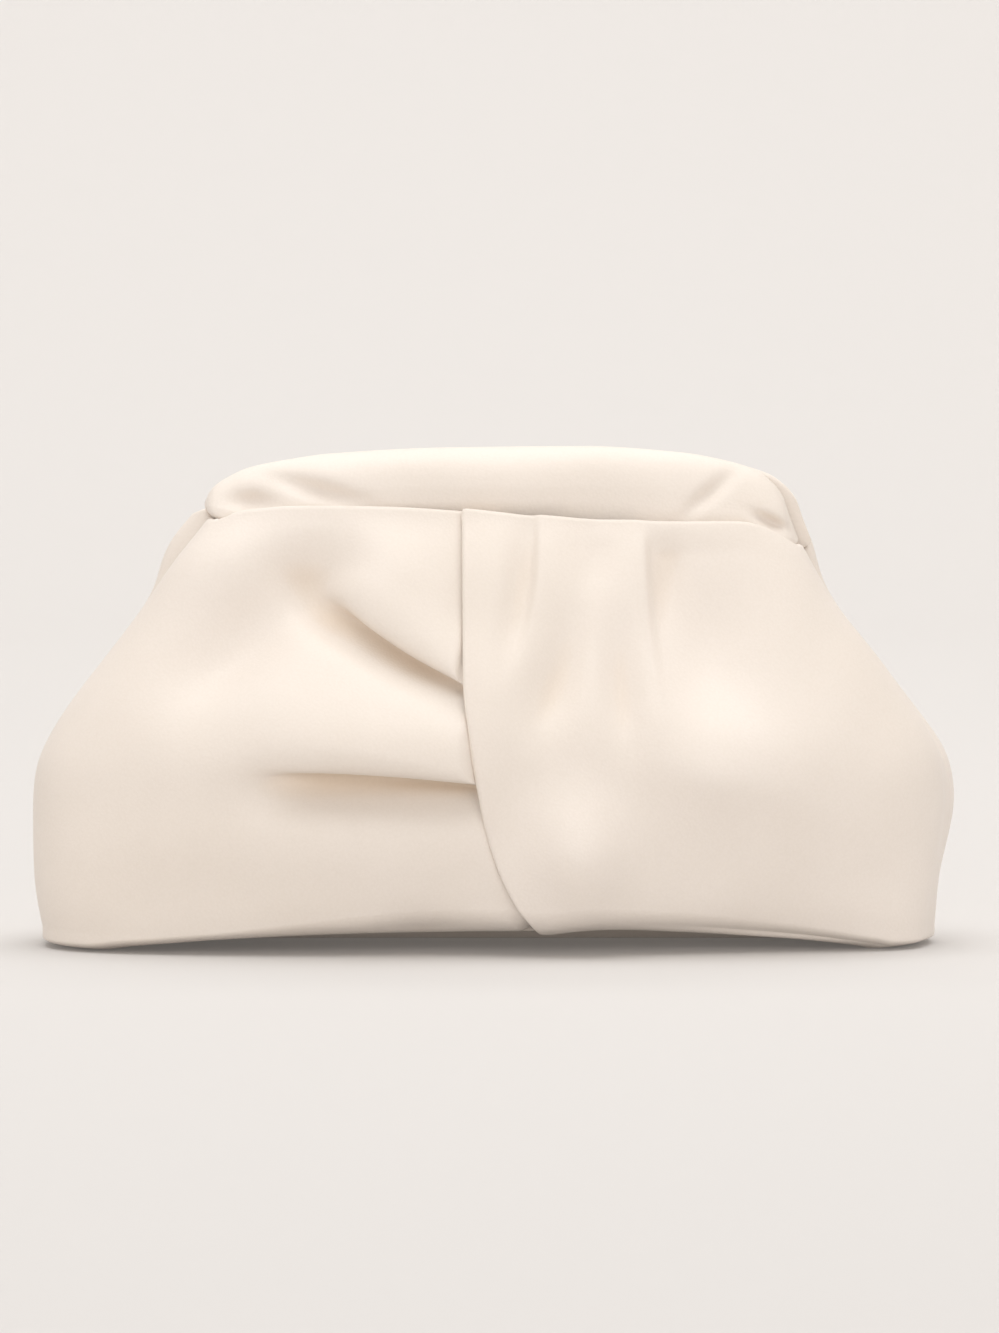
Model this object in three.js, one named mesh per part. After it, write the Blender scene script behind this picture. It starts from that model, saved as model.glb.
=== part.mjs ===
// Ruched frame-top clutch bag in soft leather, standing closed.
// Millimetres, +Z up. The front faces -Y, X runs to the viewer's right.
// The walls are hollow leather shells laid over one pouch form: a table of plan
// sections gives the form, and tables of folds and bulges push the front in and out.
import * as THREE from "three";

// ---------------------------------------------------------------- driving sizes
const WALL = 1.8; // leather with its backing
const GAP = 0.6; // clearance kept between neighbouring pieces
const SHIFT_Y = 5; // puts the middle of the depth on the origin
const FLOOR_Z = 1.5; // height of the floor in the tables' own z

const TURN_MID = 9.5; // height of the soft turn at the foot of the walls, at mid-width
const TURN_END = 3.2; // and at the ends, where the bag stands
const TURN_FROM = 30; // half-widths between which it goes from one to the other
const TURN_TO = 122;
const TURN_INSET = 17; // how far the turn runs in under the bag
const ARCH_FRONT = 0; // the raised front of the underside comes down to the floor between these depths
const ARCH_BACK = 16;
const BASE_RING = [1, 0.885, 0.7, 0.45, 0.2]; // rings of the underside, as shares of its outline
const SECTION_SOFT = 4; // the pouch form is eased over this height

const GROOVE_REACH = 4.6; // half-width, in depth, of the groove down each side
const SIDE_BLEND = 9; // depth over which front and back half-widths meet

const UNDERLAP = 12; // the left panel runs on this far under the right one
const LAP_CLEAR = 1.1; // clearance under the lap
const LAP_LIFT = 3.8; // the lapping panel stands proud by this along its edge
const LAP_LIFT_REACH = 34; // and settles back onto the form over this width
const LAP_RISE = 1.1; // how steeply the left panel comes up out of the lap
const LAP_COMES = 8; // the left panel begins to go under at this distance from the edge
const TOP_HOLD = 9; // hollows die out over this depth below the sewn top edge

const ROLL_PART = 0.35; // half of the slit between the two frame casings
const ROLL_CREST = 0.93; // share of the height at which each casing meets the slit
const ROLL_NECK = { left: [52, 76], right: [8, 80] }; // half-widths between which the casing's section changes to that of its ends
const ROLL_CROWD = 0.6; // how much closer its stations stand at the ends
const BACK_ROLL_DROP = 1; // the back casing stands this much lower
const REACH_FROM = 55; // from this half-width on the back casing is drawn out
const FRONT_REACH = { left: 0, right: 0 };
const BACK_REACH = { left: 0.6, right: 4.6 }; // and its ends lie this far beyond those of the front one
const CASING_END = { from: 78, to: 86 }; // between these half-widths the walls begin to pass below the casings

const MESH = { panelColumns: 29, lapColumns: 3, panelRows: 19, turnRows: 4, backColumns: 34, backRows: 9, baseSides: 36, rollStations: 22 };
const SEAM_CROWD = 1.35; // columns stand closer together near the side seams
const OUTLINE_STEPS = 480; // points used to measure along half a plan section
const FOLD_STEP = 2; // distance between the points a fold line is followed by

// ---------------------------------------------------------------- tables
// Plan sections: half-widths of front and back to either side, bulge of front and
// back from the middle plane, squareness of the outline, depth of the side groove.
const SECTIONS = [
  { z: 8, leftFront: 147.2, rightFront: 144.6, leftBack: 147.2, rightBack: 144.8, front: 47.0, back: 44.6, square: 3.2, groove: 0 },
  { z: 14, leftFront: 148.6, rightFront: 145.0, leftBack: 148.6, rightBack: 145.4, front: 48.2, back: 46.2, square: 3.1, groove: 0 },
  { z: 24, leftFront: 150.0, rightFront: 145.4, leftBack: 150.0, rightBack: 146.8, front: 49.8, back: 48.0, square: 2.9, groove: 0 },
  { z: 36, leftFront: 150.4, rightFront: 146.5, leftBack: 150.6, rightBack: 149.8, front: 51.4, back: 49.6, square: 2.8, groove: 0 },
  { z: 49, leftFront: 150.4, rightFront: 147.5, leftBack: 150.6, rightBack: 152.0, front: 52.7, back: 50.4, square: 2.7, groove: 0 },
  { z: 60, leftFront: 149.2, rightFront: 147.0, leftBack: 149.4, rightBack: 150.6, front: 53.0, back: 49.6, square: 2.7, groove: 0.5 },
  { z: 70, leftFront: 144.8, rightFront: 143.5, leftBack: 145.0, rightBack: 145.6, front: 51.4, back: 47.4, square: 2.7, groove: 1.5 },
  { z: 82, leftFront: 137.2, rightFront: 135.8, leftBack: 137.4, rightBack: 136.8, front: 47.4, back: 43.6, square: 2.8, groove: 3 },
  { z: 95, leftFront: 127.3, rightFront: 126.3, leftBack: 127.6, rightBack: 126.8, front: 41.7, back: 38.6, square: 3.0, groove: 5 },
  { z: 108, leftFront: 117.2, rightFront: 115.8, leftBack: 117.8, rightBack: 116.5, front: 35.4, back: 33.0, square: 3.4, groove: 6.5 },
  { z: 118, leftFront: 109.6, rightFront: 108.6, leftBack: 111.2, rightBack: 109.6, front: 31.2, back: 28.6, square: 3.9, groove: 7.5 },
  { z: 127, leftFront: 103.4, rightFront: 103.8, leftBack: 109.2, rightBack: 106.7, front: 26.8, back: 24.0, square: 4.6, groove: 8.2 },
  { z: 135, leftFront: 97.0, rightFront: 99.3, leftBack: 105.6, rightBack: 104.4, front: 21.8, back: 19.6, square: 5.4, groove: 8.8 },
  { z: 142, leftFront: 91.8, rightFront: 95.0, leftBack: 98.6, rightBack: 101.2, front: 17.1, back: 16.5, square: 6.0, groove: 9 },
  { z: 148, leftFront: 88.0, rightFront: 91.0, leftBack: 94.0, rightBack: 98.0, front: 15.9, back: 15.9, square: 6.0, groove: 9 },
];

// Top edges of front and back, by distance from the middle.
const FRONT_TOP = [
  { x: -92, z: 141.5 }, { x: -78, z: 144.7 }, { x: -62, z: 145.7 }, { x: -36, z: 145.4 }, { x: -10, z: 144.5 }, { x: 14, z: 142.6 },
  { x: 48, z: 141.3 }, { x: 67, z: 140.9 }, { x: 80, z: 140.8 }, { x: 87, z: 139.6 }, { x: 95, z: 135.8 }, { x: 99, z: 133.2 },
];
const BACK_TOP = [
  { x: -99, z: 141.6 }, { x: -94, z: 143.4 }, { x: -80, z: 144.6 }, { x: 0, z: 144.0 }, { x: 66, z: 142.4 }, { x: 84, z: 141.6 },
  { x: 92, z: 139.6 }, { x: 99.6, z: 135.6 }, { x: 104, z: 132.8 },
];

// How far the front edge of the underside stands off the floor.
const ARCH = [
  { x: -150, lift: 0 }, { x: -134, lift: 0 }, { x: -122, lift: 1.4 }, { x: -108, lift: 2.7 }, { x: -93, lift: 4 }, { x: -66, lift: 5.5 }, { x: -25, lift: 6.7 },
  { x: 0, lift: 7.3 }, { x: 38, lift: 8.2 }, { x: 59, lift: 7.1 }, { x: 80, lift: 5.5 }, { x: 98, lift: 3.9 }, { x: 112, lift: 2.4 }, { x: 122, lift: 1.2 }, { x: 131, lift: 0 }, { x: 150, lift: 0 },
];

// Edge of the right panel where it laps over the left one.
const LAP_EDGE = [
  { z: 2, x: 21.6 }, { z: 8.5, x: 16.2 }, { z: 19, x: 7.9 }, { z: 37, x: 0.2 }, { z: 57, x: -4.0 }, { z: 70, x: -6.3 }, { z: 88, x: -8.5 }, { z: 148, x: -9.1 },
];

// Folds of the walls. Each follows a line of [x, z]; heights are out of the form, to the
// right and to the left of the line as it is followed, dying away over the reaches.
// keepStart and keepEnd say how much of the fold is left at the ends of its line, fadeIn
// and fadeOut over which shares of the line it comes and goes.
const FOLDS = [
  { panel: "left", name: "upper tuck", rightHeight: 3.4, rightReach: 15, leftHeight: -8, leftReach: 11, soft: 8, keepStart: 0.4, keepEnd: 0, fadeIn: 0.45, fadeOut: 0.4, line: [[8, 79.4], [-9.8, 89.2], [-31, 102.4], [-50.6, 116.6], [-60, 125]] },
  { panel: "left", name: "lower tuck", rightHeight: 8, rightReach: 21, leftHeight: -8.5, leftReach: 12, soft: 9, keepStart: 0.4, keepEnd: 0, fadeIn: 0.4, fadeOut: 0.35, line: [[10, 54.4], [-5.7, 57], [-24.6, 59], [-45.5, 60.6], [-60, 61.2], [-86, 57.4]] },
  { panel: "left", name: "left knee", rightHeight: 2.6, rightReach: 20, leftHeight: 2.6, leftReach: 13, soft: 9, keepStart: 0, keepEnd: 0, fadeIn: 0.35, fadeOut: 0.5, line: [[-64, 67], [-84, 69], [-98, 70], [-113, 75], [-132, 78]] },
  { panel: "left", name: "shoulder dent", rightHeight: -10.5, rightReach: 13, leftHeight: -10.5, leftReach: 13, soft: 4, keepStart: 0.1, keepEnd: 0.7, fadeIn: 0.6, fadeOut: 0.3, line: [[-112, 76], [-95, 91], [-80, 104], [-68, 114.5], [-57, 118]] },
  { panel: "right", name: "pleat edge left", rightHeight: -0.8, rightReach: 9, leftHeight: 1.8, leftReach: 10, soft: 4, keepStart: 0.5, keepEnd: 0, fadeIn: 0.12, fadeOut: 0.75, line: [[14.1, 142.6], [13.1, 121], [9.9, 104], [4.7, 89.6], [0, 80]] },
  { panel: "right", name: "pleat edge right", rightHeight: 1.6, rightReach: 9, leftHeight: -1, leftReach: 10, soft: 4, keepStart: 0.5, keepEnd: 0, fadeIn: 0.12, fadeOut: 0.75, line: [[49.4, 142], [51.4, 110.5], [55.2, 83.3], [59, 71]] },
  { panel: "right", name: "pleat hollow left", rightHeight: -4.2, rightReach: 9, leftHeight: -4.2, leftReach: 9, soft: 4, keepStart: 0, keepEnd: 0, fadeIn: 0.6, fadeOut: 0.4, line: [[30, 130], [27.6, 116], [24, 101], [18, 84], [10, 62]] },
  { panel: "right", name: "pleat hollow right", rightHeight: -3, rightReach: 9, leftHeight: -3, leftReach: 9, soft: 4, keepStart: 0, keepEnd: 0, fadeIn: 0.5, fadeOut: 0.35, line: [[42, 119], [43.6, 107], [44.8, 86], [47, 63]] },
  { panel: "right", name: "side hollow", rightHeight: -9, rightReach: 15, leftHeight: -9, leftReach: 15, soft: 4, keepStart: 0.3, keepEnd: 0, fadeIn: 0.3, fadeOut: 0.6, line: [[66, 138], [66, 127], [65, 112], [63, 92]] },
  { panel: "right", name: "right knee", rightHeight: 5.6, rightReach: 13, leftHeight: 5.6, leftReach: 22, soft: 9, keepStart: 0, keepEnd: 0, fadeIn: 0.25, fadeOut: 0.75, line: [[46, 72], [57, 66.8], [69.5, 62], [84, 59.4], [101, 56], [114, 48.6], [132, 36]] },
  { panel: "right", name: "tongue", rightHeight: 18.5, rightReach: 13, leftHeight: 18.5, leftReach: 13, soft: 4, keepStart: 0, keepEnd: 0, fadeIn: 1.7, fadeOut: 0.16, line: [[20, 90], [22, 70], [25, 52], [28.5, 36], [32, 17]] },
  { panel: "back", name: "outer slack left", rightHeight: -2.8, rightReach: 11, leftHeight: -2.8, leftReach: 11, soft: 4, keepStart: 0.6, keepEnd: 0, fadeIn: 0.3, fadeOut: 0.7, line: [[-60, 143], [-64, 118], [-78, 88]] },
  { panel: "back", name: "inner slack left", rightHeight: -2.2, rightReach: 9, leftHeight: -2.2, leftReach: 9, soft: 4, keepStart: 0.6, keepEnd: 0, fadeIn: 0.3, fadeOut: 0.7, line: [[-22, 143], [-23, 122], [-28, 98]] },
  { panel: "back", name: "inner slack right", rightHeight: -2.4, rightReach: 9, leftHeight: -2.4, leftReach: 9, soft: 4, keepStart: 0.6, keepEnd: 0, fadeIn: 0.3, fadeOut: 0.7, line: [[14, 143], [16, 120], [23, 92]] },
  { panel: "back", name: "outer slack right", rightHeight: -2.8, rightReach: 11, leftHeight: -2.8, leftReach: 11, soft: 4, keepStart: 0.6, keepEnd: 0, fadeIn: 0.3, fadeOut: 0.7, line: [[50, 142], [56, 116], [72, 86]] },
];

// Soft bulges and hollows of the walls: middle, half-spread along a leaning axis and across it.
const BULGES = [
  { panel: "left", name: "band between the tucks", x: -52, z: 84, along: 40, across: 12, lean: 8, height: 1.6 },
  { panel: "left", name: "shoulder", x: -72, z: 139, along: 30, across: 8, lean: 12, height: 1.6 },
  { panel: "left", name: "low belly", x: -50, z: 36, along: 50, across: 12, lean: 0, height: 1.6 },
  { panel: "left", name: "foot tuck", x: -22, z: 10, along: 14, across: 9, lean: 0, height: -3.6 },
  { panel: "left", name: "dent core", x: -60, z: 126, along: 16, across: 9.5, lean: 8, height: -6 },
  { panel: "right", name: "right pouf", x: 74, z: 84, along: 24, across: 18, lean: -15, height: 2 },
  { panel: "right", name: "lap margin", x: -2, z: 82, along: 34, across: 9, lean: 80, height: 1.4 },
  { panel: "right", name: "low hollow", x: 92, z: 14, along: 46, across: 26, lean: -8, height: -6.5 },
  { panel: "right", name: "root of the tongue", x: 22, z: 44, along: 27, across: 13, lean: 0, height: 2.4 },
  { panel: "right", name: "hollow above the tongue", x: 24, z: 70, along: 22, across: 12, lean: 0, height: -4.2 },
  { panel: "right", name: "hollow left of the tongue", x: 4, z: 40, along: 20, across: 9, lean: 75, height: -2 },
  { panel: "right", name: "foot hollow", x: 50, z: 12, along: 26, across: 9, lean: 0, height: -2.2 },
  { panel: "back", name: "belly", x: 4, z: 58, along: 80, across: 26, lean: 0, height: 2.4 },
];

// Section of the padded casing, upward, as shares of its height and thickness: in the
// middle, where it is drawn in just above the panels, and at the ends, where it is full.
const ROLL_PROFILE = [
  { up: 0.0, out: 0.3, endOut: 0.55 }, { up: 0.07, out: 0.72, endOut: 0.88 }, { up: 0.2, out: 0.92, endOut: 1.0 }, { up: 0.34, out: 0.96, endOut: 1.0 },
  { up: 0.46, out: 0.98, endOut: 0.96 }, { up: 0.58, out: 0.97, endOut: 0.9 }, { up: 0.7, out: 0.92, endOut: 0.81 }, { up: 0.82, out: 0.8, endOut: 0.68 },
  { up: 0.92, out: 0.6, endOut: 0.5 }, { up: 0.98, out: 0.36, endOut: 0.3 }, { up: 1.0, out: 0.16, endOut: 0.15 },
];

// Padded casing over the frame: its crest and its lower side, and its thickness, along the width.
const ROLL = [
  { x: -93.4, top: 147.2, bottom: 144.0, thick: 5.8 }, { x: -92.6, top: 149.0, bottom: 142.6, thick: 9.0 }, { x: -90.6, top: 151.4, bottom: 140.6, thick: 11.4 },
  { x: -86.7, top: 154.0, bottom: 138.0, thick: 12.6 }, { x: -79, top: 157.4, bottom: 135.6, thick: 13.0 }, { x: -66, top: 160.0, bottom: 133.6, thick: 13.4 },
  { x: -53, top: 161.8, bottom: 132.6, thick: 13.6 }, { x: -14, top: 163.8, bottom: 131.6, thick: 13.6 }, { x: 30, top: 164.2, bottom: 131.0, thick: 13.6 },
  { x: 61, top: 162.2, bottom: 131.6, thick: 13.6 }, { x: 78, top: 159.0, bottom: 132.2, thick: 13.5 }, { x: 86, top: 156.2, bottom: 131.8, thick: 13.2 },
  { x: 91, top: 152.4, bottom: 131.2, thick: 12.6 }, { x: 94.4, top: 148.0, bottom: 130.6, thick: 11.4 }, { x: 96.6, top: 141.8, bottom: 130.8, thick: 9.4 },
  { x: 98.2, top: 137.6, bottom: 131.8, thick: 6.6 }, { x: 99.2, top: 135.0, bottom: 132.6, thick: 3.6 },
];

// ---------------------------------------------------------------- small helpers
const clamp = THREE.MathUtils.clamp;
const lerp = THREE.MathUtils.lerp;
const smooth = THREE.MathUtils.smoothstep;
const bell = (t) => Math.exp(-t * t);

// A smooth curve through one column of a table that never overshoots its rows.
function column(rows, along, value) {
  const at = rows.map((row) => row[along]);
  const to = rows.map((row) => row[value]);
  const rise = at.slice(1).map((a, i) => (to[i + 1] - to[i]) / (a - at[i]));
  const slope = at.map((_, i) => {
    if (i === 0) return rise[0];
    if (i === at.length - 1) return rise[i - 1];
    const before = rise[i - 1];
    const after = rise[i];
    return before * after <= 0 ? 0 : (2 * before * after) / (before + after);
  });
  return (value_) => {
    const t = clamp(value_, at[0], at[at.length - 1]);
    let i = 0;
    while (i < at.length - 2 && t > at[i + 1]) i += 1;
    const step = at[i + 1] - at[i];
    const s = (t - at[i]) / step;
    const s2 = s * s;
    const s3 = s2 * s;
    return (2 * s3 - 3 * s2 + 1) * to[i] + (s3 - 2 * s2 + s) * step * slope[i] + (3 * s2 - 2 * s3) * to[i + 1] + (s3 - s2) * step * slope[i + 1];
  };
}

// The same curve with its bends eased over a distance, kept at every whole step; its two ends stay put.
function eased(rows, along, value, soft) {
  const at = column(rows, along, value);
  const first = rows[0][along];
  const last = rows[rows.length - 1][along];
  const past = (t) => (t < first ? 2 * at(first) - at(2 * first - t) : t > last ? 2 * at(last) - at(2 * last - t) : at(t));
  const reach = Math.round(3 * soft);
  const kept = Array.from({ length: last - first + 1 }, (_, i) => {
    let sum = 0;
    let weights = 0;
    for (let k = -reach; k <= reach; k += 1) {
      const weight = Math.exp(-0.5 * (k / soft) ** 2);
      sum += weight * past(first + i + k);
      weights += weight;
    }
    return sum / weights;
  });
  return (t) => {
    const s = clamp(t - first, 0, kept.length - 1);
    const i = Math.min(Math.floor(s), kept.length - 2);
    return lerp(kept[i], kept[i + 1], s - i);
  };
}

const sectionOf = Object.fromEntries(Object.keys(SECTIONS[0]).filter((key) => key !== "z").map((key) => [key, eased(SECTIONS, "z", key, SECTION_SOFT)]));
const frontTop = column(FRONT_TOP, "x", "z");
const backTop = column(BACK_TOP, "x", "z");
const lapEdge = column(LAP_EDGE, "z", "x");
const arch = column(ARCH, "x", "lift");
const rollOf = Object.fromEntries(["top", "bottom", "thick"].map((key) => [key, column(ROLL, "x", key)]));
const archLift = (x, y) => arch(x) * (1 - smooth(y, ARCH_FRONT, ARCH_BACK));
const turnHeight = (x) => lerp(TURN_MID, TURN_END, smooth(Math.abs(x), TURN_FROM, TURN_TO));

// ---------------------------------------------------------------- the pouch form
// A plan section as a function of the angle: 0 is the right side, a quarter turn the front middle.
function planSection(z) {
  const form = Object.fromEntries(Object.entries(sectionOf).map(([key, of]) => [key, of(z)]));
  return (angle) => {
    const c = Math.cos(angle);
    const s = Math.sin(angle);
    const widthFront = c > 0 ? form.rightFront : form.leftFront;
    const widthBack = c > 0 ? form.rightBack : form.leftBack;
    const half = lerp(widthFront, widthBack, smooth(-widthFront * s, -SIDE_BLEND, SIDE_BLEND));
    const deep = s > 0 ? form.front : form.back;
    const radius = (Math.abs(c / half) ** form.square + Math.abs(s / deep) ** form.square) ** (-1 / form.square);
    const y = -radius * s;
    const x = radius * c * (1 - (form.groove / half) * bell(y / GROOVE_REACH));
    return [x, y];
  };
}

// Half of a plan section as points with their distance along it.
function outline(z, fromAngle, toAngle) {
  const points = [];
  const at = planSection(z);
  let run = 0;
  for (let i = 0; i <= OUTLINE_STEPS; i += 1) {
    const [x, y] = at(lerp(fromAngle, toAngle, i / OUTLINE_STEPS));
    if (i > 0) run += Math.hypot(x - points[i - 1].x, y - points[i - 1].y);
    points.push({ x, y, run });
  }
  return points;
}

// Place on an outline at a given distance along it, with the level outward direction.
function along(points, run) {
  const last = points.length - 1;
  let lo = 0;
  let hi = last;
  while (hi - lo > 1) {
    const mid = (lo + hi) >> 1;
    if (points[mid].run > run) hi = mid;
    else lo = mid;
  }
  const a = points[lo];
  const b = points[hi];
  const t = clamp((run - a.run) / (b.run - a.run), 0, 1);
  const length = Math.hypot(b.x - a.x, b.y - a.y);
  return { x: lerp(a.x, b.x, t), y: lerp(a.y, b.y, t), tx: (b.x - a.x) / length, ty: (b.y - a.y) / length };
}

// Distance along an outline, walked from its start, at which x reaches a value.
function runAtX(points, x) {
  const sign = Math.sign(points[points.length - 1].x - points[0].x);
  const middle = points.findIndex((p) => (p.x - x) * sign >= 0 && Math.abs(p.y) > GROOVE_REACH * 2);
  const a = points[middle - 1];
  const b = points[middle];
  return lerp(a.run, b.run, (x - a.x) / (b.x - a.x));
}

// ---------------------------------------------------------------- folds
const foldLines = new Map();
function foldLine(fold) {
  if (!foldLines.has(fold)) {
    const path = new THREE.CatmullRomCurve3(fold.line.map(([x, z]) => new THREE.Vector3(x, 0, z)), false, "catmullrom");
    const points = path.getSpacedPoints(Math.ceil(path.getLength() / FOLD_STEP));
    const step = path.getLength() / (points.length - 1);
    const keep = points.map((_, i) => {
      const share = i / (points.length - 1);
      return lerp(fold.keepStart, 1, smooth(share, 0, fold.fadeIn)) * lerp(fold.keepEnd, 1, smooth(1 - share, 0, fold.fadeOut));
    });
    foldLines.set(fold, { points, weights: keep.map((k) => (k * step) / Math.sqrt(Math.PI)) });
  }
  return foldLines.get(fold);
}

// A bell carried along the line of a fold, and a step across it from one height to the other.
function foldHeight(fold, x, z) {
  const { points, weights } = foldLine(fold);
  let right = 0;
  let left = 0;
  points.forEach((p, i) => {
    const far2 = (x - p.x) ** 2 + (z - p.z) ** 2;
    right += (weights[i] / fold.rightReach) * Math.exp(-far2 / fold.rightReach ** 2);
    left += (weights[i] / fold.leftReach) * Math.exp(-far2 / fold.leftReach ** 2);
  });
  let nearest = Infinity;
  let offset = 0; // positive to the right of the line
  for (let i = 0; i < points.length - 1; i += 1) {
    const a = points[i];
    const dx = points[i + 1].x - a.x;
    const dz = points[i + 1].z - a.z;
    const t = clamp(((x - a.x) * dx + (z - a.z) * dz) / (dx * dx + dz * dz), 0, 1);
    const far = Math.hypot(x - a.x - t * dx, z - a.z - t * dz);
    if (far < nearest) {
      nearest = far;
      offset = ((x - a.x) * dz - (z - a.z) * dx) / Math.hypot(dx, dz);
    }
  }
  return lerp(left * fold.leftHeight, right * fold.rightHeight, smooth(offset, -fold.soft, fold.soft));
}

function bulgeHeight(bulge, x, z) {
  const turn = THREE.MathUtils.degToRad(bulge.lean);
  const u = (x - bulge.x) * Math.cos(turn) + (z - bulge.z) * Math.sin(turn);
  const v = (z - bulge.z) * Math.cos(turn) - (x - bulge.x) * Math.sin(turn);
  return bulge.height * bell(Math.hypot(u / bulge.along, v / bulge.across));
}

function reliefOf(panel, x, z) {
  let height = 0;
  const hold = smooth((panel === "back" ? backTop(x) : frontTop(x)) - z, 0, TOP_HOLD);
  for (const fold of FOLDS) if (fold.panel === panel) height += foldHeight(fold, x, z);
  for (const bulge of BULGES) if (bulge.panel === panel) height += bulgeHeight(bulge, x, z);
  if (panel === "right") height += LAP_LIFT * bell((x - lapEdge(z)) / LAP_LIFT_REACH);
  return height < 0 ? height * hold : height;
}

// The left panel is held down where it passes under the right one.
function leftRelief(x, z) {
  const roof = reliefOf("right", x, z) - WALL - LAP_CLEAR + LAP_RISE * Math.max(0, lapEdge(z) - x);
  return Math.min(reliefOf("left", x, z), roof);
}

// How far it lies below the right panel, taken straight through the wall.
const tucked = (x, z) => (WALL + LAP_CLEAR) * smooth(x - lapEdge(z), -LAP_COMES, -1);

// ---------------------------------------------------------------- shells
// A closed shell from a grid of outer points and the directions its thickness is taken in.
function shell(outer, inward) {
  const rows = outer.length;
  const cols = outer[0].length;
  const positions = [];
  const index = [];
  for (const row of outer) for (const p of row) positions.push(p.x, p.y, p.z);
  outer.forEach((row, j) => row.forEach((p, i) => {
    const q = p.clone().addScaledVector(inward[j][i], WALL);
    positions.push(q.x, q.y, q.z);
  }));
  const at = (j, i, layer) => layer * rows * cols + j * cols + i;
  const span = (a, b) => Math.hypot(...[0, 1, 2].map((k) => positions[3 * a + k] - positions[3 * b + k]));
  const quad = (a, b, c, d) => (span(a, c) <= span(b, d) ? index.push(a, b, c, a, c, d) : index.push(a, b, d, b, c, d));
  for (let j = 0; j < rows - 1; j += 1) {
    for (let i = 0; i < cols - 1; i += 1) {
      quad(at(j, i, 0), at(j, i + 1, 0), at(j + 1, i + 1, 0), at(j + 1, i, 0));
      quad(at(j, i, 1), at(j + 1, i, 1), at(j + 1, i + 1, 1), at(j, i + 1, 1));
    }
  }
  for (let i = 0; i < cols - 1; i += 1) {
    quad(at(0, i, 0), at(0, i, 1), at(0, i + 1, 1), at(0, i + 1, 0));
    quad(at(rows - 1, i, 0), at(rows - 1, i + 1, 0), at(rows - 1, i + 1, 1), at(rows - 1, i, 1));
  }
  for (let j = 0; j < rows - 1; j += 1) {
    quad(at(j, 0, 0), at(j + 1, 0, 0), at(j + 1, 0, 1), at(j, 0, 1));
    quad(at(j, cols - 1, 0), at(j, cols - 1, 1), at(j + 1, cols - 1, 1), at(j + 1, cols - 1, 0));
  }
  return facingOut(positions, index);
}

// Turns the faces over if they look inward.
function facingOut(positions, index) {
  let six = 0;
  const p = (k) => new THREE.Vector3().fromArray(positions, 3 * k);
  for (let t = 0; t < index.length; t += 3) six += p(index[t]).dot(p(index[t + 1]).cross(p(index[t + 2])));
  if (six < 0) for (let t = 0; t < index.length; t += 3) [index[t + 1], index[t + 2]] = [index[t + 2], index[t + 1]];
  const geometry = new THREE.BufferGeometry();
  geometry.setAttribute("position", new THREE.Float32BufferAttribute(positions, 3));
  geometry.setIndex(index);
  geometry.translate(0, SHIFT_Y, -FLOOR_Z);
  return geometry;
}

// Outward directions of a grid of points, by differences along rows and columns.
function directions(grid, outwardY) {
  const rows = grid.length;
  const cols = grid[0].length;
  return grid.map((row, j) => row.map((_, i) => {
    const across = grid[j][Math.min(i + 1, cols - 1)].clone().sub(grid[j][Math.max(i - 1, 0)]);
    const up = grid[Math.min(j + 1, rows - 1)][i].clone().sub(grid[Math.max(j - 1, 0)][i]);
    return across.cross(up).normalize().multiplyScalar(outwardY);
  }));
}

// How high a wall may rise where it stands under the end of a frame casing.
function casingFloor(x, y, reach) {
  const first = ROLL[0].x;
  const last = ROLL[ROLL.length - 1].x;
  const at = x - reach.right * smooth(x, REACH_FROM, last + reach.right) + reach.left * smooth(-x, REACH_FROM, -first + reach.left);
  const beyond = Math.max(at - last, 0) + Math.max(first - at, 0);
  const beside = Math.abs(y) - WALL - ROLL_PART - rollOf.thick(at);
  const free = smooth(beside, 1.6, 3.6) + 1 - smooth(Math.abs(at), CASING_END.from, CASING_END.to) + smooth(beyond, 0, 2);
  return rollOf.bottom(at) - 3 * GAP + 30 * free;
}

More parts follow.
